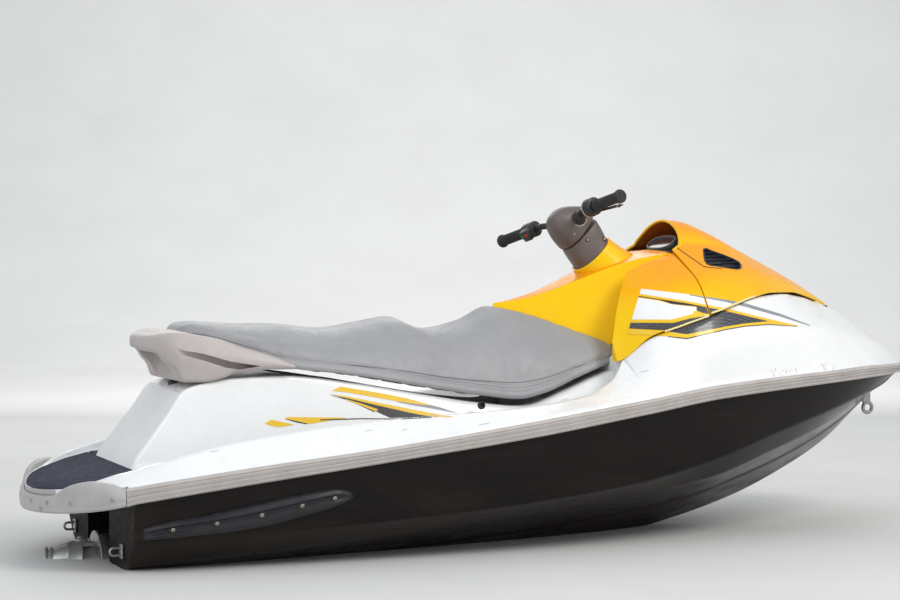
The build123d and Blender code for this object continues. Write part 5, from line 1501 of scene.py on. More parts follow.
# ================================================================== console
xs = stations(1604, 2194, 7.0)
wf, zf_, wk, zk_, wt, zt_, zc_ = (col(CONSOLE, k, xs) for k in range(1, 8))
o = 0 * xs
K = [(o, zf_), (wf, zf_), (wk, zk_), (wt, zt_), (o, zc_)]
K = np.stack([np.stack([a, c2], -1) for a, c2 in K], 1)
Pc = rounded(K, [6, 70, 60], [14, 14, 14, 10], na=6)
Vc = np.concatenate([np.repeat(xs[:, None, None], Pc.shape[1], 1), Pc], -1)
b = Build()
b.grid(Vc, cap0=True, cap1=True)
core = cut_and_mirror(b, [((0, 186.0, 0), (0, 1, 0), True), (tuple(PLANE_A + PLANE_N * 1.2), tuple(-PLANE_N), True)], "console_cover", [M["yellow"], M["black"]], weld=0.1, angle=36)
# stepped collar at the foot of the column, square to the steering axis
AXV = np.array([-math.sin(math.radians(45.0)), 0.0, math.cos(math.radians(45.0))])
AXU = np.array([math.cos(math.radians(45.0)), 0.0, math.sin(math.radians(45.0))])
YV = np.array([0.0, 1.0, 0.0])
COL0 = np.array([1971.0, 0.0, 953.0])
BAR = np.array([1864.9, 0.0, 1059.1])
b = Build()
b.grid(np.array([ring(COL0 + AXV * t, AXU, YV, r, r, n=72, power=2.15) for t, r in
                 [(-110, 108), (-84, 99), (-50, 90.5), (-20, 84.5), (-6, 82.2), (-1.6, 81), (0.0, 78.8), (-0.2, 76.5), (-2.0, 75.2), (-14, 74.6)]]), wrap_v=True)
collar = b.make("column_collar", [M["yellow"]], weld=0.01, angle=40, recalc=True)
ride(core, "hull", "console", slot="console_yellow")
ride(collar, "hull", slot="console_yellow")
# side fairings beside the seat's tongue
b = Build()
b.grid(Vc, cap0=True, cap1=True)
n1 = np.array([-100.0, -94.0, 0.0])
n1 = n1 / np.linalg.norm(n1)
fair = cut_and_mirror(b, [((0, 187.4, 0), (0, -1, 0), True), ((1905.5, 0, 0), (-1, 0, 0), True), ((2006.0, 200.0, 0), tuple(n1), True)],
                      "side_fairing_pair", [M["yellow"]], weld=0.1, angle=36)
ride(fair, "hull", "side_fairings", slot="console_yellow")

# ================================================================== hood
XB0 = 2226.0
xa = np.concatenate([stations(2197.5, XB0, 8.0)[:-1], stations(XB0, 2880, 9.0)])
ia = int(np.argmin(np.abs(xa - XB0)))


def hood_at(x):
    return [col(HOOD, k, x) for k in range(1, 8)]


we, ze, wk, zk_, wt, zt_, zc_ = hood_at(xa)
K = np.stack([np.stack([a, c2], -1) for a, c2 in [(we, ze), (wk, zk_), (wt, zt_)]], 1)
Pa = rounded(K, [80], [16, 14], na=6)
Va = np.concatenate([np.repeat(xa[:, None, None], Pa.shape[1], 1), Pa], -1)
tb = np.linspace(0, 1, 20)
XR = pchip([0, 0.35, 0.65, 0.86, 1.0], [2251.0, 2249.0, 2245.0, 2238.0, 2226.0], tb)
u = (xa[ia:] - XB0) / (xa[-1] - XB0)
XX = XR[None, :] + (xa[-1] - XR[None, :]) * u[:, None]
TT = np.repeat(tb[None, :], len(u), 0)
_, _, _, _, wtb, ztb, zcb = (c.reshape(XX.shape) for c in (col(HOOD, k, XX.ravel()) for k in range(1, 8)))
k_ = smooth(2330, 2700, XX)
bulge = (1 - TT ** 2.0) ** (0.82 + 0.18 * k_)
Vb = np.stack([XX, wtb * TT, ztb + (zcb - ztb) * bulge], -1)
Vb[:, -1] = Va[ia:, -1]
b = Build()
b.grid(Va)
b.grid(Vb, flip=True)
b.mirrored()
hood = b.make("hood_shell", [M["yellow"], M["hood_in"]], weld=0.3, angle=42, recalc=False)
bm = bmesh.new()
bm.from_mesh(hood.data)
bmesh.ops.recalc_face_normals(bm, faces=bm.faces)
upn = sum((f.normal.z * f.calc_area() for f in bm.faces))
if upn < 0:
    bmesh.ops.reverse_faces(bm, faces=bm.faces)
bm.to_mesh(hood.data)
bm.free()
# the inner wall takes the darker orange material, which is painted shade
sol = hood.modifiers.new("wall", "SOLIDIFY")
sol.thickness, sol.offset, sol.material_offset, sol.material_offset_rim = 0.0065, -1.0, 1, 0
bake_modifiers(hood)
# the photograph's camera, used to place the vents, seams and stripes
CAM = np.array((-2.9269232, -6.8945393, 0.9945289)) * 1000.0 + np.array([S, 0, 0])
CAM_R, CAM_U, CAM_B = (np.array(v) for v in ((0.92816555, -0.37216117, -0.00218606), (0.01187668, 0.02374841, 0.99964742), (-0.37197804, -0.92786425, 0.02646249)))


def aim(px, py):
    d = CAM_R * (px - 450.0) / 2200.0 + CAM_U * (300.0 - py) / 2200.0 - CAM_B
    return d / np.linalg.norm(d)


def tree_of(*objects):
    vs, fs = [], []
    for ob in objects:
        base = len(vs)
        vs.extend([((v.co.x * 1000.0 + S), v.co.y * 1000.0, v.co.z * 1000.0) for v in ob.data.vertices])
        fs.extend([[base + i for i in p.vertices] for p in ob.data.polygons])
    return BVHTree.FromPolygons(vs, fs)


def hit(tree, px, py):
    o, n, _, _ = tree.ray_cast(Vector(CAM), Vector(aim(px, py)))
    return (None, None) if o is None else (np.array(o), np.array(n))


def dense(poly, step, closed=True):
    out = []
    n = len(poly)
    for i in range(n if closed else n - 1):
        a_, b_ = np.array(poly[i], float), np.array(poly[(i + 1) % n], float)
        k = max(1, int(np.linalg.norm(b_ - a_) / step))
        out.extend(a_ + (b_ - a_) * j / k for j in range(k))
    if not closed:
        out.append(np.array(poly[-1], float))
    return out


VENT_PX = [(703.6, 249.4), (703.9, 255.0), (704.8, 260.4), (707.2, 264.0), (711.5, 265.6), (722, 267.2), (736, 269.2), (740.2, 268.6), (741.2, 265.6), (738.6, 262.0), (734, 259.4), (724, 255.2), (712, 251.0), (706.4, 248.6)]
hood_tree = tree_of(hood)
vent_pts, vent_n = [], []
for q in dense(VENT_PX, 1.6):
    p_, n_ = hit(hood_tree, *q)
    vent_pts.append(p_)
    vent_n.append(n_ if np.dot(n_, aim(*q)) < 0 else -n_)
vent_pts = np.array(vent_pts)
vn = np.mean(vent_n, axis=0)
vn /= np.linalg.norm(vn)
vc = vent_pts.mean(0)
MIR = np.array([1.0, -1.0, 1.0])
cutters = []
for m_ in (np.ones(3), MIR):
    c = Build()
    c.grid(np.array([(vent_pts + vn * h) * m_ for h in (-34.0, 30.0)]), wrap_v=True, cap0=True, cap1=True)
    cutters.append(c.make("cutter", weld=0.01, recalc=True))
carve(hood, cutters)
shade(hood, 42)
ride(hood, "hood", "hood", "hood_visor", slot="hood_yellow")
# insert of each vent: a raised lip, then a dark tray crossed by slats
b = Build()
rows = []
for sc, h in ((1.045, -3.0), (1.045, 0.9), (1.02, 2.0), (0.99, 2.0), (0.965, 0.6), (0.955, -4.0), (0.95, -13.0)):
    rows.append((vc + (vent_pts - vc) * sc + vn * h))
b.grid(np.array(rows), wrap_v=True, cap1=True)
along = vent_pts[np.argmax(vent_pts[:, 0])] - vent_pts[np.argmin(vent_pts[:, 0])]
along -= vn * np.dot(along, vn)
along /= np.linalg.norm(along)
across = np.cross(vn, along)
a2 = (vent_pts - vc) @ along
c2 = (vent_pts - vc) @ across
for k in range(5):
    f = 0.16 + 0.17 * k
    cl = c2.min() + (c2.max() - c2.min()) * f
    xs_ = [a2[i] + (a2[(i + 1) % len(a2)] - a2[i]) * (cl - c2[i]) / (c2[(i + 1) % len(a2)] - c2[i]) for i in range(len(a2)) if (c2[i] - cl) * (c2[(i + 1) % len(a2)] - cl) < 0]
    if len(xs_) >= 2 and max(xs_) - min(xs_) > 16:
        u0, u1 = min(xs_) + 3, max(xs_) - 3
        round_box(b, vc + along * (u0 + u1) / 2 + across * cl - vn * 4.6, (u1 - u0, 2.6, 7.0), 1.0, axes=(along, across, vn))
b.mirrored()
vent = b.make("hood_vent_inserts", [M["vent"]], weld=0.02, angle=30, recalc=True)
ride(vent, "hood", "hood_vents", slot="plastic_black")
# rolled rim round the mouth of the visor
b = Build()
rim = [Vb[0, i].copy() for i in range(20)] + [Va[i, -1].copy() for i in range(ia - 1, -1, -1)]
rim = [p + np.array([1.0, 0, -2.6]) for p in rim]
path = [p * np.array([1, -1, 1]) for p in rim[:0:-1]] + rim
sweep(b, path, lambda i: ring((0, 0), (1, 0), (0, 1), 5.2, 5.2, n=12))
rim_ob = b.make("visor_rim", [M["yellow"]], weld=0.01, angle=60, recalc=True)
ride(rim_ob, "hood", slot="hood_yellow")
b = Build()
lathe(b, (2892, -40, 748), (0, 1, 0), [(0, 3), (1, 4), (79, 4), (80, 3)], n=20)
pin = b.make("hood_hinge_rod", [M["steel"]], weld=0.01, angle=35, recalc=True)
ride(pin, "hood", "hood_hinge_pin", slot="steel")
b = Build()
for s in (-1, 1):
    for y in (14, 34):
        round_box(b, (2886, s * y, 752), (26, 5, 22), 2.2)
round_box(b, (2868, 0, 741), (58, 88, 6), 2.0)
hk = b.make("hood_hinge_bracket", [M["black"]], weld=0.01, angle=35, recalc=True)
ride(hk, "hull")

# ================================================================== instruments
b = Build()
nrm = np.array([-0.62, 0.0, 0.785])
uu = np.array([0.0, 1.0, 0.0])
vv = np.cross(nrm, uu)
c0 = np.array([2252.0, 0.0, 985.0])
rows = []
for t, ry, rv in [(-16, 92, 40), (-6, 94, 42), (3, 93, 41), (7, 90, 38), (9.5, 86, 34.5), (10, 83, 31.5), (8.0, 81, 29.5), (5.5, 80, 28.5)]:
    rows.append(ring(c0 + nrm * t, uu, vv, ry, rv, n=64, power=2.6))
b.grid(np.array(rows), wrap_v=True, cap0=True)
pod = b.make("instrument_bezel", [M["pod"]], weld=0.02, angle=36, recalc=True)
ride(pod, "hull", "instrument_pod", slot="pod_plastic")
b = Build()
rows = []
for t, k in [(6.6, 1.0), (7.4, 0.9), (8.3, 0.7), (8.9, 0.45), (9.1, 0.2), (9.15, 0.01)]:
    rows.append(ring(c0 + nrm * (t - 1.2), uu, vv, 80 * k, 28.5 * k, n=64, power=2.6))
b.grid(np.array(rows), wrap_v=True)
lens = b.make("instrument_lens", [M["lens"]], weld=0.02, angle=60, recalc=True)
ride(lens, "hull", slot="pod_plastic")
b = Build()
rows = [ring(c0 + nrm * t, uu, vv, ry, rv, n=64, power=2.6) for t, ry, rv in [(7, 86.5, 35), (10.6, 86, 34.6), (10.9, 84.4, 33.0), (7, 83.5, 32)]]
b.grid(np.array(rows), wrap_v=True)
trim = b.make("instrument_trim", [M["handle"]], weld=0.02, angle=36, recalc=True)
ride(trim, "hull", slot="pod_plastic")
b = Build()
xs3 = stations(2186, 2330, 10)
rows = []
for x in xs3:
    t = (x - 2186) / 144.0
    w = 166 - 12 * t
    z = 955 + 12 * t
    rows.append([(x, y, z + 6 * (1 - (y / w) ** 2)) for y in np.linspace(-w, w, 25)])
b.grid(np.array(rows))
dash = b.make("dash_floor", [M["black"]], weld=0.02, angle=60, recalc=True)
ride(dash, "hull")

# ================================================================== steering
def axis_ring(along, shift, ru, rv, power=2.5, n=64):
    return ring(COL0 + AXV * along + AXU * shift, AXU, YV, ru, rv, n=n, power=power)


b = Build()
b.grid(np.array([axis_ring(*q) for q in [(-8, 0, 73, 69, 2.3), (0.5, 0, 73.6, 69.6, 2.3), (3, 0, 72.4, 68.6, 2.4), (20, 4, 74, 67, 2.5), (40, 8, 75.5, 65.5, 2.6), (60, 12, 76, 62.6, 2.7),
                                          (74, 15, 75.6, 60.4, 2.7), (77.4, 15.6, 74.2, 59.2, 2.7), (78, 16, 71, 56, 2.7), (78, 16, 40, 34, 2.4)]]), wrap_v=True, cap0=True, cap1=True)
for s_ in (-1, 1):
    for al, fw in ((61.0, 5.0), (15.0, 55.0), (18.0, -50.0)):
        up_y = 66.0 * (1 - abs((fw - 8.0) / 75.0) ** 2.6) ** (1 / 2.6)
        e_n = np.array([0.0, s_, 0.0]) + AXU * (0.62 * np.sign(fw) if abs(fw) > 20 else 0.0)
        e_n = e_n / np.linalg.norm(e_n)
        p_ = COL0 + AXV * al + AXU * fw + YV * s_ * (up_y - (3.0 if abs(fw) < 20 else 2.0))
        lathe(b, p_ - e_n * 3, e_n, [(0, 8.0), (3.2, 8.0), (3.9, 7.2), (2.4, 6.3)], n=20, mat=1)
        screw(b, p_ + e_n * 0.4, e_n, r=5.4, mat=2)
mast = b.make("column_cover", [M["mast"], M["black"], M["screw"]], weld=0.01, angle=34, recalc=True)
ride(mast, "hull", "steering_mast", slot="mast_grey")

TURN = math.radians(18.0)


def bar_place(b):
    """from the bar's own frame, x forward and z up the steering axis, to its resting place."""
    V = np.asarray(b.v, float)
    x = V[:, 0] * math.cos(TURN) - V[:, 1] * math.sin(TURN)
    y = V[:, 0] * math.sin(TURN) + V[:, 1] * math.cos(TURN)
    b.v = (BAR + x[:, None] * AXU + y[:, None] * YV + V[:, 2:3] * AXV).tolist()
    return b


def bar_pt(s_, y):
    t = (y - 130.0) / 206.0
    return np.array([8.0 - 8.0 * t, s_ * y, 12.0 + 4.0 * t])


EX, EY, EZ = np.eye(3)
b = Build()
rows = [ring((sh, 0, al), EX, EY, ru, rv, n=72, power=pw) for al, sh, ru, rv, pw in
        [(-66, 16, 76, 56, 2.6), (-65.6, 16, 78.6, 58.6, 2.6), (-62, 16.5, 80.5, 60.5, 2.6), (-46, 19, 83.5, 62, 2.6), (-30, 19, 82.4, 62, 2.6), (-15, 16, 78, 60.4, 2.6),
         (0, 11, 70, 57.4, 2.5), (12, 6.5, 62, 54, 2.5), (24, 3, 53, 48.5, 2.4), (34, 0, 44, 42, 2.3), (42, -2, 34, 33, 2.2), (46.6, -3.4, 24, 24, 2.1), (48.4, -4, 12, 12, 2.0), (48.8, -4, 3, 3, 2.0)]]
b.grid(np.array(rows), wrap_v=True, cap0=True, cap1=True)
for s_ in (-1, 1):
    for fx, al in ((66.0, -22.0), (-34.0, -40.0)):
        yy_ = 61.0 * (1 - abs((fx - 17.0) / 81.0) ** 2.6) ** (1 / 2.6)
        e_n = np.array([0.75 if fx > 0 else -0.5, s_, 0.0])
        e_n = e_n / np.linalg.norm(e_n)
        p_ = np.array([fx, s_ * (yy_ - 1.6), al])
        lathe(b, p_ - e_n * 3, e_n, [(0, 7.4), (3.0, 7.4), (3.6, 6.6), (2.2, 6.0)], n=20, mat=1)
        screw(b, p_ + e_n * 0.3, e_n, r=5.0, mat=2)
bar_place(b)
cover = b.make("handlebar_cover", [M["mast"], M["black"], M["screw"]], weld=0.01, angle=38, recalc=True)
ride(cover, "handlebar", "handlebar_pad", slot="mast_grey")
BEND = np.array([(20.0, 50.0, -20.0), (18.0, 84.0, -6.0), (8.0, 130.0, 12.0), (4.0, 233.0, 14.0), (0.0, 336.0, 16.0)])
bp = np.array([(x, -y, z) for x, y, z in BEND[::-1]] + [(x, y, z) for x, y, z in BEND])
# rubber boots and their light rings where the bar leaves the cover
b = Build()
for s_ in (-1, 1):
    d_ = np.array([18.0 - 20.0, s_ * 34.0, 14.0])
    d_ = d_ / np.linalg.norm(d_)
    o_ = np.array([20.0, s_ * 50.0, -20.0])
    lathe(b, o_, d_, [(0, 30), (8.0, 30), (10.6, 29), (11.4, 27.4), (10.8, 26), (8, 25.4)], n=40, mat=0)
    lathe(b, o_ + d_ * 5, d_, [(-4, 26), (2, 26), (7, 24.6), (10, 22), (12, 22), (15, 23.4), (18, 23.4), (21, 20.6), (23, 20.6), (26, 22), (29, 22), (33, 18), (40, 15.5), (46, 14.5), (47, 11.4)], n=36, mat=1)
bar_place(b)
boots = b.make("handlebar_boots", [M["ringgrey"], M["black"]], weld=0.01, angle=36, recalc=True)
ride(boots, "handlebar", slot="pad_black")
b = Build()
yy = np.linspace(-336, 336, 89)
fine = np.stack([pchip(bp[:, 1], bp[:, 0], yy), yy, pchip(bp[:, 1], bp[:, 2], yy)], 1)
sweep(b, fine, lambda i: ring((0, 0), (1, 0), (0, 1), 11.0, n=20))
bar_place(b)
tube = b.make("handlebar_tube_bent", [M["barblack"]], weld=0.01, angle=50, recalc=True)
ride(tube, "handlebar", "handlebar_tube", slot="bar_black")
b = Build()
for s_ in (-1, 1):
    p0 = bar_pt(s_, 205)
    d_ = bar_pt(s_, 336) - p0
    L = np.linalg.norm(d_)
    d_ = d_ / L
    prof = [(0, 12), (0, 21.5), (1, 23), (4, 23), (5.5, 21.5), (6.5, 18.4)]
    k = 8.0
    while k < L - 8:
        prof += [(k, 17.6), (k + 0.6, 17.1), (k + 1.6, 17.1), (k + 2.2, 17.6), (k + 2.8, 18.8), (k + 4.6, 19.0), (k + 5.2, 18.8)]
        k += 6.2
    prof += [(L - 6, 18.8), (L - 4, 22.0), (L - 1, 23.4), (L + 5, 23.4), (L + 8.5, 21.8), (L + 9, 19), (L + 9, 13), (L + 7.5, 12), (L + 7.5, 7), (L + 8.6, 6.4), (L + 8.6, 0.01)]
    lathe(b, p0, d_, prof, n=36)
bar_place(b)
grips = b.make("handlebar_grips", [M["grip"]], weld=0.01, angle=34, recalc=True)
ride(grips, "handlebar", "grips", slot="grip_rubber")
b = Build()
p0 = bar_pt(-1, 158)
d_ = bar_pt(-1, 196) - p0
L = np.linalg.norm(d_)
d_ = d_ / L
lathe(b, p0, d_, [(0, 12), (0, 27), (2, 30), (15, 31), (16, 30.2), (17.4, 30.2), (18.4, 31), (L - 4, 31), (L - 1.4, 29.6), (L, 26), (L, 12)], n=52)
lathe(b, p0 - d_ * 1.2, d_, [(0, 27.5), (0, 31.4), (1.0, 32.2), (3.4, 32.2), (4.4, 31.4), (4.4, 27.5)], n=52, mat=1)
for a_ in (0.6, 2.5, 4.4):
    e_n = np.array([math.cos(a_), 0, math.sin(a_)])
    lathe(b, p0 + d_ * 9 + e_n * 28.5, e_n, [(0, 5), (3.4, 5), (4.0, 4.2), (2.8, 3.4), (2.8, 0.01)], n=14)
round_box(b, p0 + d_ * 18 + np.array([14, 0, -22.0]), (24, 30, 16), 4)
bar_place(b)
tb_ = b.make("throttle_body", [M["black"], M["ringgrey"]], weld=0.01, angle=34, recalc=True)
ride(tb_, "handlebar", "throttle_housing", slot="bar_black")
b = Build()
t0, t1 = bar_pt(-1, 178), bar_pt(-1, 296)
path = np.array([t0 + [12, 2, -27.0], t0 + [20, -5, -34.0], t0 + [21, -16, -35.5], t0 * 0.6 + t1 * 0.4 + [16, 0, -35.0], t1 + [8, 10, -34.0], t1 + [7, -2, -34.0]])
tt = np.linspace(0, 1, len(path))
ts = np.linspace(0, 1, 26)
path = np.stack([pchip(tt, path[:, k], ts) for k in range(3)], 1)
sweep(b, path, lambda i: ring((0, 0), (1, 0), (0, 1), 3.0, 6.4 - 1.2 * math.sin(math.pi * i / 25.0), n=14, power=2.4), mat=1)
torus(b, t1 + np.array([7.0, -3.0, -34.0]), (0.75, 0, 0.66), 7.0, 2.4, nu=26, nv=10)
torus(b, t1 + np.array([8.0, 10.0, -34.0]), (0.0, 1.0, 0.0), 6.2, 2.2, nu=22, nv=8)
bar_place(b)
lever = b.make("throttle_trigger", [M["steel"], M["barblack"]], weld=0.01, angle=40, recalc=True)
ride(lever, "handlebar", "throttle_lever", slot="lever_black")
b = Build()
p0 = bar_pt(1, 146)
d_ = bar_pt(1, 198) - p0
L = np.linalg.norm(d_)
d_ = d_ / L
lathe(b, p0, d_, [(0, 12), (0, 25), (2, 27.5), (24, 28), (25, 27.2), (26.4, 27.2), (27.4, 28), (L - 3, 28), (L - 1, 26.5), (L, 23), (L, 12)], n=44)
sp = bar_pt(1, 172)
round_box(b, sp + np.array([-25, 0, 3.0]), (33, 43, 41), 6)
for dy, m_ in ((-11, 1), (11, 2)):
    lathe(b, sp + np.array([-41, dy, 9.0]), (-1, 0, 0.1), [(-3, 7.5), (0.6, 7.5), (1.2, 6.6), (1.2, 5.8), (3.0, 5.4), (3.6, 4.4), (3.6, 0.01)], n=22, mat=m_)
bar_place(b)
sw = b.make("switch_body", [M["black"], M["redbutton"], M["greenbutton"]], weld=0.01, angle=34, recalc=True)
ride(sw, "handlebar", "switch_housing", slot="bar_black")

# ================================================================== fittings
b = Build()
cap_d = np.array([0.0, 34.0, 26.0]) / np.linalg.norm([0.0, 34.0, 26.0])
prof = [(-4, 47), (3, 47), (4.5, 45.5), (4.5, 42), (3.4, 41)]
lathe(b, np.array([2420.0, 441.0, 694.0]) + cap_d * 12, cap_d, prof, n=60)
rows = []
d_, u_, v_ = basis(cap_d)
for t, r in [(14, 39), (15, 40), (28, 39), (31, 36), (32.5, 30), (33, 18), (33, 0.5)]:
    a = np.arange(72) * 2 * math.pi / 72
    rr = r + (1.1 * np.where((np.arange(72) // 2) % 2 == 0, 1, -1) if 14 < t < 30 else 0)
    rows.append(np.array([2420.0, 441.0, 694.0]) + d_ * t + (np.cos(a) * rr)[:, None] * u_ + (np.sin(a) * rr)[:, None] * v_)
b.grid(np.array(rows), wrap_v=True)
round_box(b, np.array([2420.0, 441.0, 694.0]) + cap_d * 35.5, (62, 11, 9), 3, axes=((1, 0, 0), tuple(np.cross(cap_d, (1, 0, 0))), tuple(cap_d)))
fc = b.make("fuel_cap_knob", [M["black"]], weld=0.02, angle=32, recalc=True)
ride(fc, "hull", "fuel_cap", slot="plastic_black")

b = Build()
rows = []
for zz, hx_, hy_, rr in [(533, 2, 2, 1), (533, 148, 196, 20), (534.5, 152, 200.5, 22), (540, 153.5, 202.5, 22), (680, 155.5, 204.5, 22), (768, 156, 205, 22), (772, 156.5, 205.5, 22)]:
    loop = []
    for q_ in range(4):
        for m_ in range(6):
            th_ = math.pi / 2 * (q_ + m_ / 5)
            sx = 1 if q_ in (0, 3) else -1
            sy = 1 if q_ in (0, 1) else -1
            r1 = min(rr, hx_, hy_)
            x_, y_ = sx * (hx_ - r1) + r1 * math.cos(th_), sy * (hy_ - r1) + r1 * math.sin(th_)
            dz = 0.0
            if zz > 760:
                dz = float(np.interp(2453 + x_, [2297, 2330, 2440, 2560, 2610], [-2, 12, 28, 30, 28]))
            loop.append((2453 + x_, y_, zz + dz))
    rows.append(loop)
outer = [[(2453 + (p[0] - 2453) * 0.985, p[1] * 0.985, p[2] + 2.5) for p in r] for r in rows]
b.grid(np.array(outer), wrap_v=True, flip=True)
tub = b.make("storage_tub_liner", [M["black"]], weld=0.02, angle=35, recalc=False)
sol = tub.modifiers.new("wall", "SOLIDIFY")
sol.thickness, sol.offset = 0.0035, 0.0
bake_modifiers(tub)
shade(tub, 35)
ride(tub, "hull", "storage_bin", slot="plastic_black")

# engine as seen when the seat is lifted
b = Build()
rows = []
for zz, hx_, hy_ in [(72, 236, 128), (78, 252, 142), (160, 256, 148), (166, 259, 149.5), (176, 259, 149.5), (182, 254, 146), (300, 246, 140), (322, 236, 132), (328, 224, 122), (328, 4, 4)]:
    loop = []
    for q_ in range(4):
        for m_ in range(6):
            th_ = math.pi / 2 * (q_ + m_ / 5)
            sx = 1 if q_ in (0, 3) else -1
            sy = 1 if q_ in (0, 1) else -1
            r1 = min(26, hx_, hy_)
            loop.append((1300 + sx * (hx_ - r1) + r1 * math.cos(th_), sy * (hy_ - r1) + r1 * math.sin(th_), zz))
    rows.append(loop)
b.grid(np.array(rows), wrap_v=True, cap0=True)
for cx_ in (1190.0, 1420.0):
    rows = []
    for zz, hh in [(326, 88), (334, 90), (338, 86), (344, 90), (348, 86), (354, 90), (358, 86), (364, 90), (368, 86), (374, 90), (378, 86), (384, 88), (402, 88), (412, 82), (417, 72), (418, 3)]:
        rows.append(ring((cx_, 0, zz), (1, 0, 0), (0, 1, 0), hh * 1.08, hh, n=44, power=4.5))
    b.grid(np.array(rows), wrap_v=True)
    lathe(b, (cx_, 0, 410), (0, 0, 1), [(0, 14), (7, 14), (8, 10), (10, 9), (10, 0.01)], n=6, mat=1)
    for a in range(6):
        e = np.array([math.cos(a * math.pi / 3), math.sin(a * math.pi / 3), 0]) * 66
        lathe(b, np.array([cx_, 0, 414]) + e, (0, 0, 1), [(0, 7), (5, 7), (6, 6), (6, 0.01)], n=6, mat=1)
for k in range(2):
    pts = np.array([(1190 + 230 * k, 88, 350), (1190 + 230 * k, 118, 340), (1210 + 200 * k, 134, 300), (1240 + 140 * k, 138, 250), (1300, 139, 220)], float)
    tt = np.linspace(0, 1, len(pts))
    ts = np.linspace(0, 1, 18)
    pts = np.stack([pchip(tt, pts[:, m_], ts) for m_ in range(3)], 1)
    sweep(b, pts, lambda i: ring((0, 0), (1, 0), (0, 1), 10.0, n=16))
eng = b.make("engine_casting", [M["engine"], M["screw"]], weld=0.02, angle=34, recalc=True)
ride(eng, "hull", "engine_block", slot="engine_metal")

# ================================================================== joint flange and graphics
b = Build()
xf = np.array([2174.0, 2184.0, 2192.0, 2200.0, 2208.0, 2214.0])
we, ze, wk, zk_, wt, zt_, zc_ = hood_at(np.maximum(xf, 2198.0))
Kf = np.stack([np.stack([a_, c_], -1) for a_, c_ in [(we, ze - 6), (wk, zk_), (wt, zt_ - 4)]], 1)
Pf = rounded(Kf, [80], [16, 14], na=6)
Tf = np.gradient(Pf, axis=1)
Nf = np.stack([Tf[..., 1], -Tf[..., 0]], -1)
Nf /= np.maximum(np.linalg.norm(Nf, axis=2), 1e-9)[..., None]
Pf = Pf - Nf * np.array([9.0, 9.0, 10.0, 12.0, 12.5, 12.5])[:, None, None]
b.grid(np.concatenate([np.repeat(xf[:, None, None], Pf.shape[1], 1), Pf], -1))
b.mirrored()
flange = b.make("cowling_flange", [M["yellow"]], weld=0.02, angle=60, recalc=False)
sol = flange.modifiers.new("wall", "SOLIDIFY")
sol.thickness, sol.offset = 0.003, 0.0
bake_modifiers(flange)
shade(flange, 40)
ride(flange, "hull")

TARGETS = [("deck", deck, tree_of(deck)), ("fairing", fair, tree_of(fair)), ("console", core, tree_of(core)), ("hood", hood, hood_tree)]
GB = {k: Build() for k, _, _ in TARGETS}


def along_px(poly, n):
    poly = np.array(poly, float)
    d = np.concatenate([[0], np.cumsum(np.linalg.norm(np.diff(poly, axis=0), axis=1))])
    t = np.linspace(0, d[-1], n)
    return np.stack([np.interp(t, d, poly[:, 0]), np.interp(t, d, poly[:, 1])], 1)


def band(upper, lower, mat, h=0.7, step=1.1, rows=None):
    """a patch of film laid on the mouldings between two outlines drawn in the photograph's view."""
    length = max(np.sum(np.linalg.norm(np.diff(np.array(q, float), axis=0), axis=1)) for q in (upper, lower))
    n = max(3, int(length / step))
    U, L = along_px(upper, n), along_px(lower, n)
    m = rows or max(2, int(np.max(np.linalg.norm(U - L, axis=1)) / step) + 2)
    pts = np.zeros((n, m, 3))
    who = -np.ones((n, m), int)
    for i in range(n):
        for j in range(m):
            q = U[i] + (L[i] - U[i]) * j / (m - 1)
            ray = aim(*q)
            best = 1e18
            for k, (_, _, tree) in enumerate(TARGETS):
                o, nn, _, dist = tree.ray_cast(Vector(CAM), Vector(ray))
                if o is not None and dist < best:
                    best = dist
                    nv = np.array(nn)
                    if np.dot(nv, ray) > 0:
                        nv = -nv
                    pts[i, j] = np.array(o) + nv * h
                    who[i, j] = k
    for k, (name, _, _) in enumerate(TARGETS):
        fs, used, vs = [], {}, []
        for i in range(n - 1):
            for j in range(m - 1):
                c4 = [(i, j), (i + 1, j), (i + 1, j + 1), (i, j + 1)]
                if all(who[c] == k for c in c4):
                    quad = np.array([pts[c] for c in c4])
                    if np.max(np.linalg.norm(quad - quad.mean(0), axis=1)) > 26:
                        continue
                    f = []
                    for c in c4:
                        if c not in used:
                            used[c] = len(vs)
                            vs.append(pts[c])
                        f.append(used[c])
                    fs.append(tuple(f))
        if fs:
            GB[name].faces(vs, fs, mat)


Y_, K_, W_, G_, D_, P_, R_, S_ = range(8)
FILM = [M["film_yellow"], M["film_black"], M["film_white"], M["film_grey_print_and_shadow"], M["film_mesh"], M["film_pale"], M["scuff"], M["film_shadow"]]
# bow flash
band([(641.1, 288.8), (687, 294.2), (725.3, 299.9), (750.8, 306.4)], [(639.3, 294.6), (687, 301.3), (725.3, 308.2), (750.8, 314)], W_, 0.6)
band([(689.6, 294.6), (725.3, 299.7), (747, 303.8), (780, 313.8), (810, 325.4)], [(689.6, 295.4), (725.3, 302.0), (749, 307.8), (780, 316.4), (810, 325.9)], G_, 1.0)
band([(639.5, 294.0), (687, 301.2), (725.3, 308.5), (763.6, 317.8), (782.7, 322.4), (797.4, 325.6)], [(638.8, 296.2), (687, 303.4), (725.3, 311), (750.8, 317.2), (768.7, 321.4), (797.4, 326.2)], Y_, 1.2)
band([(638.8, 296.2), (660, 298.4), (680, 302.2), (709, 307.8), (724, 310.6)], [(638.6, 297.0), (660, 300.0), (672, 304.0), (696, 306.4), (710, 314.2)], K_, 0.9)
band([(638.4, 297.6), (658, 300.6), (672, 304.4), (696, 307.2)], [(631.7, 320), (672, 320), (693.4, 314), (697, 310.8)], W_, 0.6)
band([(697, 306.4), (712, 308.4), (726, 311.2)], [(696.5, 310.4), (703, 313), (711, 314.6)], D_, 1.1)
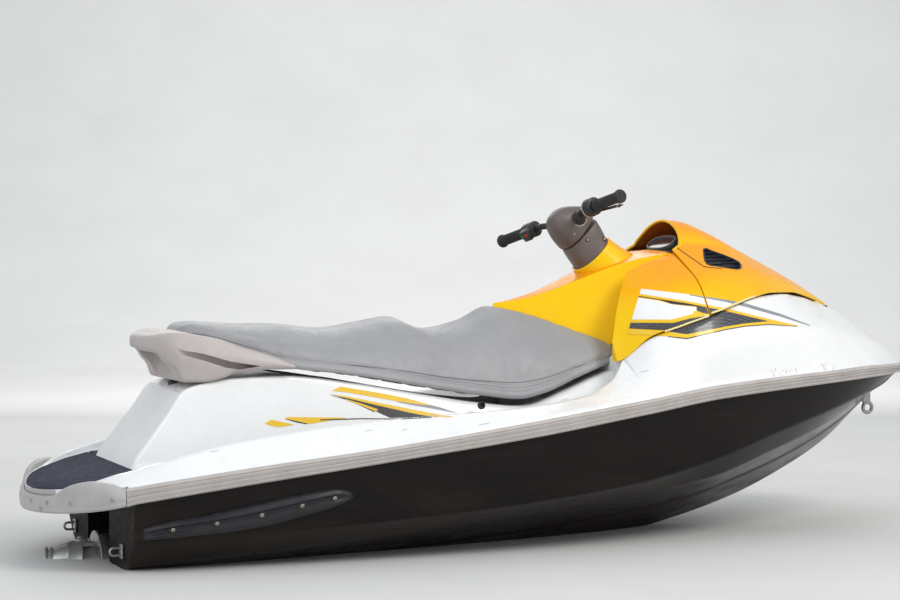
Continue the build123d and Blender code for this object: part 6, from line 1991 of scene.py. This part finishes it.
band([(631.8, 319.6), (671.7, 319.7), (693.4, 314), (693.8, 310.6), (709, 314.8)], [(630.8, 322.9), (673, 322.9), (690.8, 318.4), (700, 317.0), (709, 315.0)], Y_, 1.4)
band([(630.8, 322.9), (673, 323.3), (690.8, 318.6), (709.3, 314.8)], [(629.2, 328.4), (673, 330.9), (684.5, 329.8), (703.6, 318.6)], D_, 1.0)
band([(716, 309.4), (727.8, 311.4), (750.8, 317.1), (769.5, 321.2)], [(697, 318.4), (740, 321.6), (769.5, 321.6)], D_, 0.95)
band([(697, 318.4), (740, 321.6), (769.5, 321.6)], [(668, 331.6), (679.4, 333.2), (687, 334.4), (707.4, 330.7), (725.3, 326.9), (745.7, 323.7), (769.5, 321.8)], D_, 1.0)
band([(629.1, 328.6), (667.9, 332.2), (687, 334.4), (707.4, 330.5), (725.3, 326.7), (745.7, 323.5), (768.7, 321.4), (797.4, 325.4)], [(627.4, 334.4), (667.9, 336.3), (687, 338.2), (707.4, 333.4), (725.3, 329.2), (745.7, 325.8), (768.7, 324.2), (797.4, 326.4)], Y_, 1.3)
band([(667.9, 336.3), (687, 338.2), (707.4, 333.4), (725.3, 329.2), (745.7, 325.8), (768.7, 324.2), (797.4, 326.4)], [(667.9, 336.9), (687, 339.2), (707.4, 334.4), (725.3, 330.1), (745.7, 326.6), (768.7, 324.9), (797.4, 326.7)], K_, 1.2)
# pale trim along the foot of the yellow mouldings: a soft bead over the joint
def edge_bead(xa_, wa, za, name, body, mat, r=3.4):
    q = Build()
    sweep(q, np.stack([xa_, -(wa + 0.3), za - 1.2], 1), lambda i: np.array([(r * math.cos(a), r * math.sin(a)) for a in np.linspace(0, 2 * math.pi, 12, endpoint=False)]))
    q.mirrored()
    o_ = q.make(name, [mat], weld=0.01, angle=50, recalc=True)
    ride(o_, body)
    return o_


M["trim_pale"] = moulded("trim_pale", (0.90, 0.76, 0.34), (0.84, 0.70, 0.30), rough=0.40, grain=700.0, bump=0.08)
xe = np.arange(2040.0, 2192.0, 6.0)
edge_bead(xe, col(CONSOLE, 1, xe), col(CONSOLE, 2, xe), "fairing_trim_bead", "hull", M["trim_pale"])
xe = np.arange(2200.0, 2400.0, 6.0)
edge_bead(xe, hood_at(xe)[0], hood_at(xe)[1], "hood_trim_bead", "hood", M["trim_pale"])
xe = np.arange(2398.0, HOOD[-1, 0] - 14.0, 8.0)
edge_bead(xe, hood_at(xe)[0], hood_at(xe)[1], "hood_edge_bead", "hood", M["yellow"], r=3.0)
# seam of the hood lid
band([(675.6, 246.2), (690, 256.4), (704, 266.2), (712, 267.4), (722, 268.6)], [(675.2, 247.1), (689.6, 257.2), (703.6, 267.0), (712, 268.2), (722, 269.2)], S_, 0.6)
# flash under the seat
band([(332.2, 390.4), (340.7, 386.6), (362.1, 390.1), (386.2, 394.1), (406.3, 398.1), (428.5, 404.3)], [(332.2, 390.8), (348.7, 392.7), (375.5, 397.4), (397, 401.4), (415, 404.0), (428.5, 405.2)], Y_, 0.9)
# grey tip of the flash, with a painted shadow along its lower edge in the same grey film
band([(397, 401.4), (415, 403.6), (430, 404.8), (442.5, 408.1), (455.5, 412.6)], [(397, 402.0), (415, 405.6), (430, 408.2), (442.5, 410.4), (455.5, 413.0)], G_, 0.7)
band([(330, 394.2), (346, 396.2), (375.5, 402.2), (409, 408.9), (433.1, 413.5), (452.5, 416.7)], [(330, 394.5), (346, 397.9), (375.5, 405.0), (409, 412.6), (431.8, 417.0), (452.5, 417.1)], Y_, 1.2)
band([(340, 397.0), (356.8, 400.4), (375.5, 405.0), (409, 412.6), (431.8, 417.0)], [(340, 397.4), (356.8, 404.2), (372, 409.6), (390, 417.8), (431.8, 417.4)], K_, 0.8)
band([(345, 399.0), (360, 403.2), (378, 409.4)], [(345, 399.5), (360, 405.2), (376, 411.6)], Y_, 1.3)
band([(332, 395.2), (350, 400.0), (376, 410.4)], [(332, 395.6), (350, 401.0), (374, 412.0)], K_, 1.0)
band([(265, 423.3), (271.1, 419.8), (280, 421.5), (293.8, 424.4)], [(265, 423.7), (272, 426.0), (279.1, 427.2), (293.8, 424.8)], Y_, 0.9)
band([(284.5, 418.4), (288, 416.9), (311.2, 417.4), (345, 417.6)], [(284.5, 418.8), (297, 422.6), (309, 424.0), (345, 418.4)], Y_, 0.9)
band([(286, 418.9), (297, 421.2), (307, 423.4)], [(286, 419.4), (297, 422.6), (307, 424.3)], K_, 1.2)
band([(320, 419.4), (360, 418.2), (404, 418.6), (432, 417.4)], [(320, 420.6), (360, 419.2), (404, 419.3), (432, 417.8)], K_, 1.1)
# rubbed marks on the bow flank
rs = np.random.default_rng(11)
for x0, x1, y0, y1, k_ in ((770, 797, 367, 383, 15), (821, 838, 360, 375, 8)):
    for _ in range(k_):
        x, y = rs.uniform(x0, x1), rs.uniform(y0, y1 - 5)
        ln, w_ = rs.uniform(1.6, 5.5), rs.uniform(0.25, 0.6)
        sl = rs.uniform(-0.5, 0.5)
        band([(x, y), (x + sl, y + ln)], [(x + w_, y), (x + sl + w_, y + ln)], R_, 0.6, step=1.2, rows=2)
for x, y, ln in ((210, 452, 9), (365, 431, 7), (478, 425, 12), (560, 400, 8), (402, 430, 5), (160, 462, 6), (640, 372, 9), (700, 352, 7)):
    w_ = 0.5
    band([(x, y), (x + ln, y - ln * 0.2)], [(x, y + w_), (x + ln, y - ln * 0.2 + w_)], R_, 0.6, step=1.2, rows=2)
for name, ob_, _ in TARGETS:
    if GB[name].f:
        GB[name].mirrored()
        g_ = GB[name].make(name + "_graphics", FILM, weld=0.0, angle=60, recalc=False)
        ride(g_, "hood" if name == "hood" else "hull")
# grey lip where the platform's edge meets the bumper
xe = np.array([58.0, 50.0, 42.0, 34.0, 27.0, 20.5])
ye = lin(STERN_IN, xe)
edge = [(x - 0.6, -(y + 1.2)) for x, y in zip(xe, ye)] + [(19.0, y) for y in (-34.0, -17.0, 0.0, 17.0, 34.0)] + [(x - 0.6, y + 1.2) for x, y in zip(xe[::-1], ye[::-1])]
b = Build()
sweep(b, np.array([(x, y, float(lin(FLOOR, np.array([x]))[0]) - 6.6) for x, y in edge]),
      lambda i: np.array([(-2.0, -7.6), (2.0, -7.6), (2.4, -6.8), (2.4, 6.4), (1.6, 7.4), (-1.6, 7.4), (-2.4, 6.4), (-2.4, -6.8)]))
lip = b.make("platform_edge_lip", [M["bumper"]], weld=0.01, angle=40, recalc=True)
ride(lip, "hull")


# ------------------------------------------------------------------ stage
# a pale floor that sweeps up into the backdrop far behind the craft
fwd = np.array([0.37212, 0.92818])
side = np.array([0.92818, -0.37212])
profile = [(-34.0, 0.0), (-10.0, 0.0), (0.0, 0.0), (9.0, 0.0)]
profile += [(9.0 + 7.0 * math.sin(a), 7.0 * (1 - math.cos(a))) for a in np.linspace(0.05, math.pi / 2, 30)] + [(16.0, 22.0)]
verts = [(*(fwd * d + side * w), h) for d, h in profile for w in (-40.0, 0.0, 40.0)]
floor_me = bpy.data.meshes.new("floor")
floor_me.from_pydata(verts, [], grid_faces(len(profile), 3))
for p in floor_me.polygons:
    p.use_smooth = True
floor = bpy.data.objects.new("floor", floor_me)
bpy.context.scene.collection.objects.link(floor)
fl = Mat("floor_pale", (0.72, 0.71, 0.69), rough=0.9, spec=0.1)
fl.base(fl.mix(fl.rng(fl.noise(1.2, 4.0, 0.6), 0.3, 0.7), (0.70, 0.69, 0.67), (0.66, 0.65, 0.63)))
floor_me.materials.append(fl.done())

bpy.context.scene.view_settings.view_transform = "Standard"
world = bpy.data.worlds.new("studio")
world.use_nodes = True
world.node_tree.nodes["Background"].inputs[0].default_value = (0.86, 0.91, 0.97, 1)
world.node_tree.nodes["Background"].inputs[1].default_value = 0.80
bpy.context.scene.world = world


def area(name, loc, target, size, power, colour=(1, 1, 1), size_y=None):
    d = bpy.data.lights.new(name, "AREA")
    d.energy = power
    d.color = colour
    d.size = size
    if size_y:
        d.shape = "RECTANGLE"
        d.size_y = size_y
    o = bpy.data.objects.new(name, d)
    o.location = loc
    o.rotation_mode = "QUATERNION"
    o.rotation_quaternion = (Vector(target) - Vector(loc)).to_track_quat("-Z", "Y")
    bpy.context.scene.collection.objects.link(o)
    return o


area("key", (2.6, -5.2, 5.4), (0.1, 0, 0.4), 2.6, 235, (1.0, 0.97, 0.93))
area("fill", (-5.4, -3.4, 4.2), (-0.6, 0, 0.4), 4.0, 80, (0.96, 0.98, 1.0))
area("back", (1.0, 5.5, 4.0), (0, 0, 0.5), 4.0, 100, (1.0, 0.99, 0.97))
area("wall", tuple(fwd * 6.0) + (5.0,), tuple(fwd * 16.0) + (3.0,), 6.0, 420, (1.0, 1.0, 1.0))

cam_data = bpy.data.cameras.new("camera")
cam_data.sensor_width = 36.0
cam_data.lens = 88.0
cam_data.clip_start, cam_data.clip_end = 0.1, 200.0
cam = bpy.data.objects.new("camera", cam_data)
cam.matrix_world = Matrix((
    (0.92816555, 0.01187668, -0.37197804, -2.9269232),
    (-0.37216117, 0.02374841, -0.92786425, -6.8945393),
    (-0.00218606, 0.99964742, 0.02646249, 0.9945289),
    (0, 0, 0, 1)))
bpy.context.scene.collection.objects.link(cam)
bpy.context.scene.camera = cam
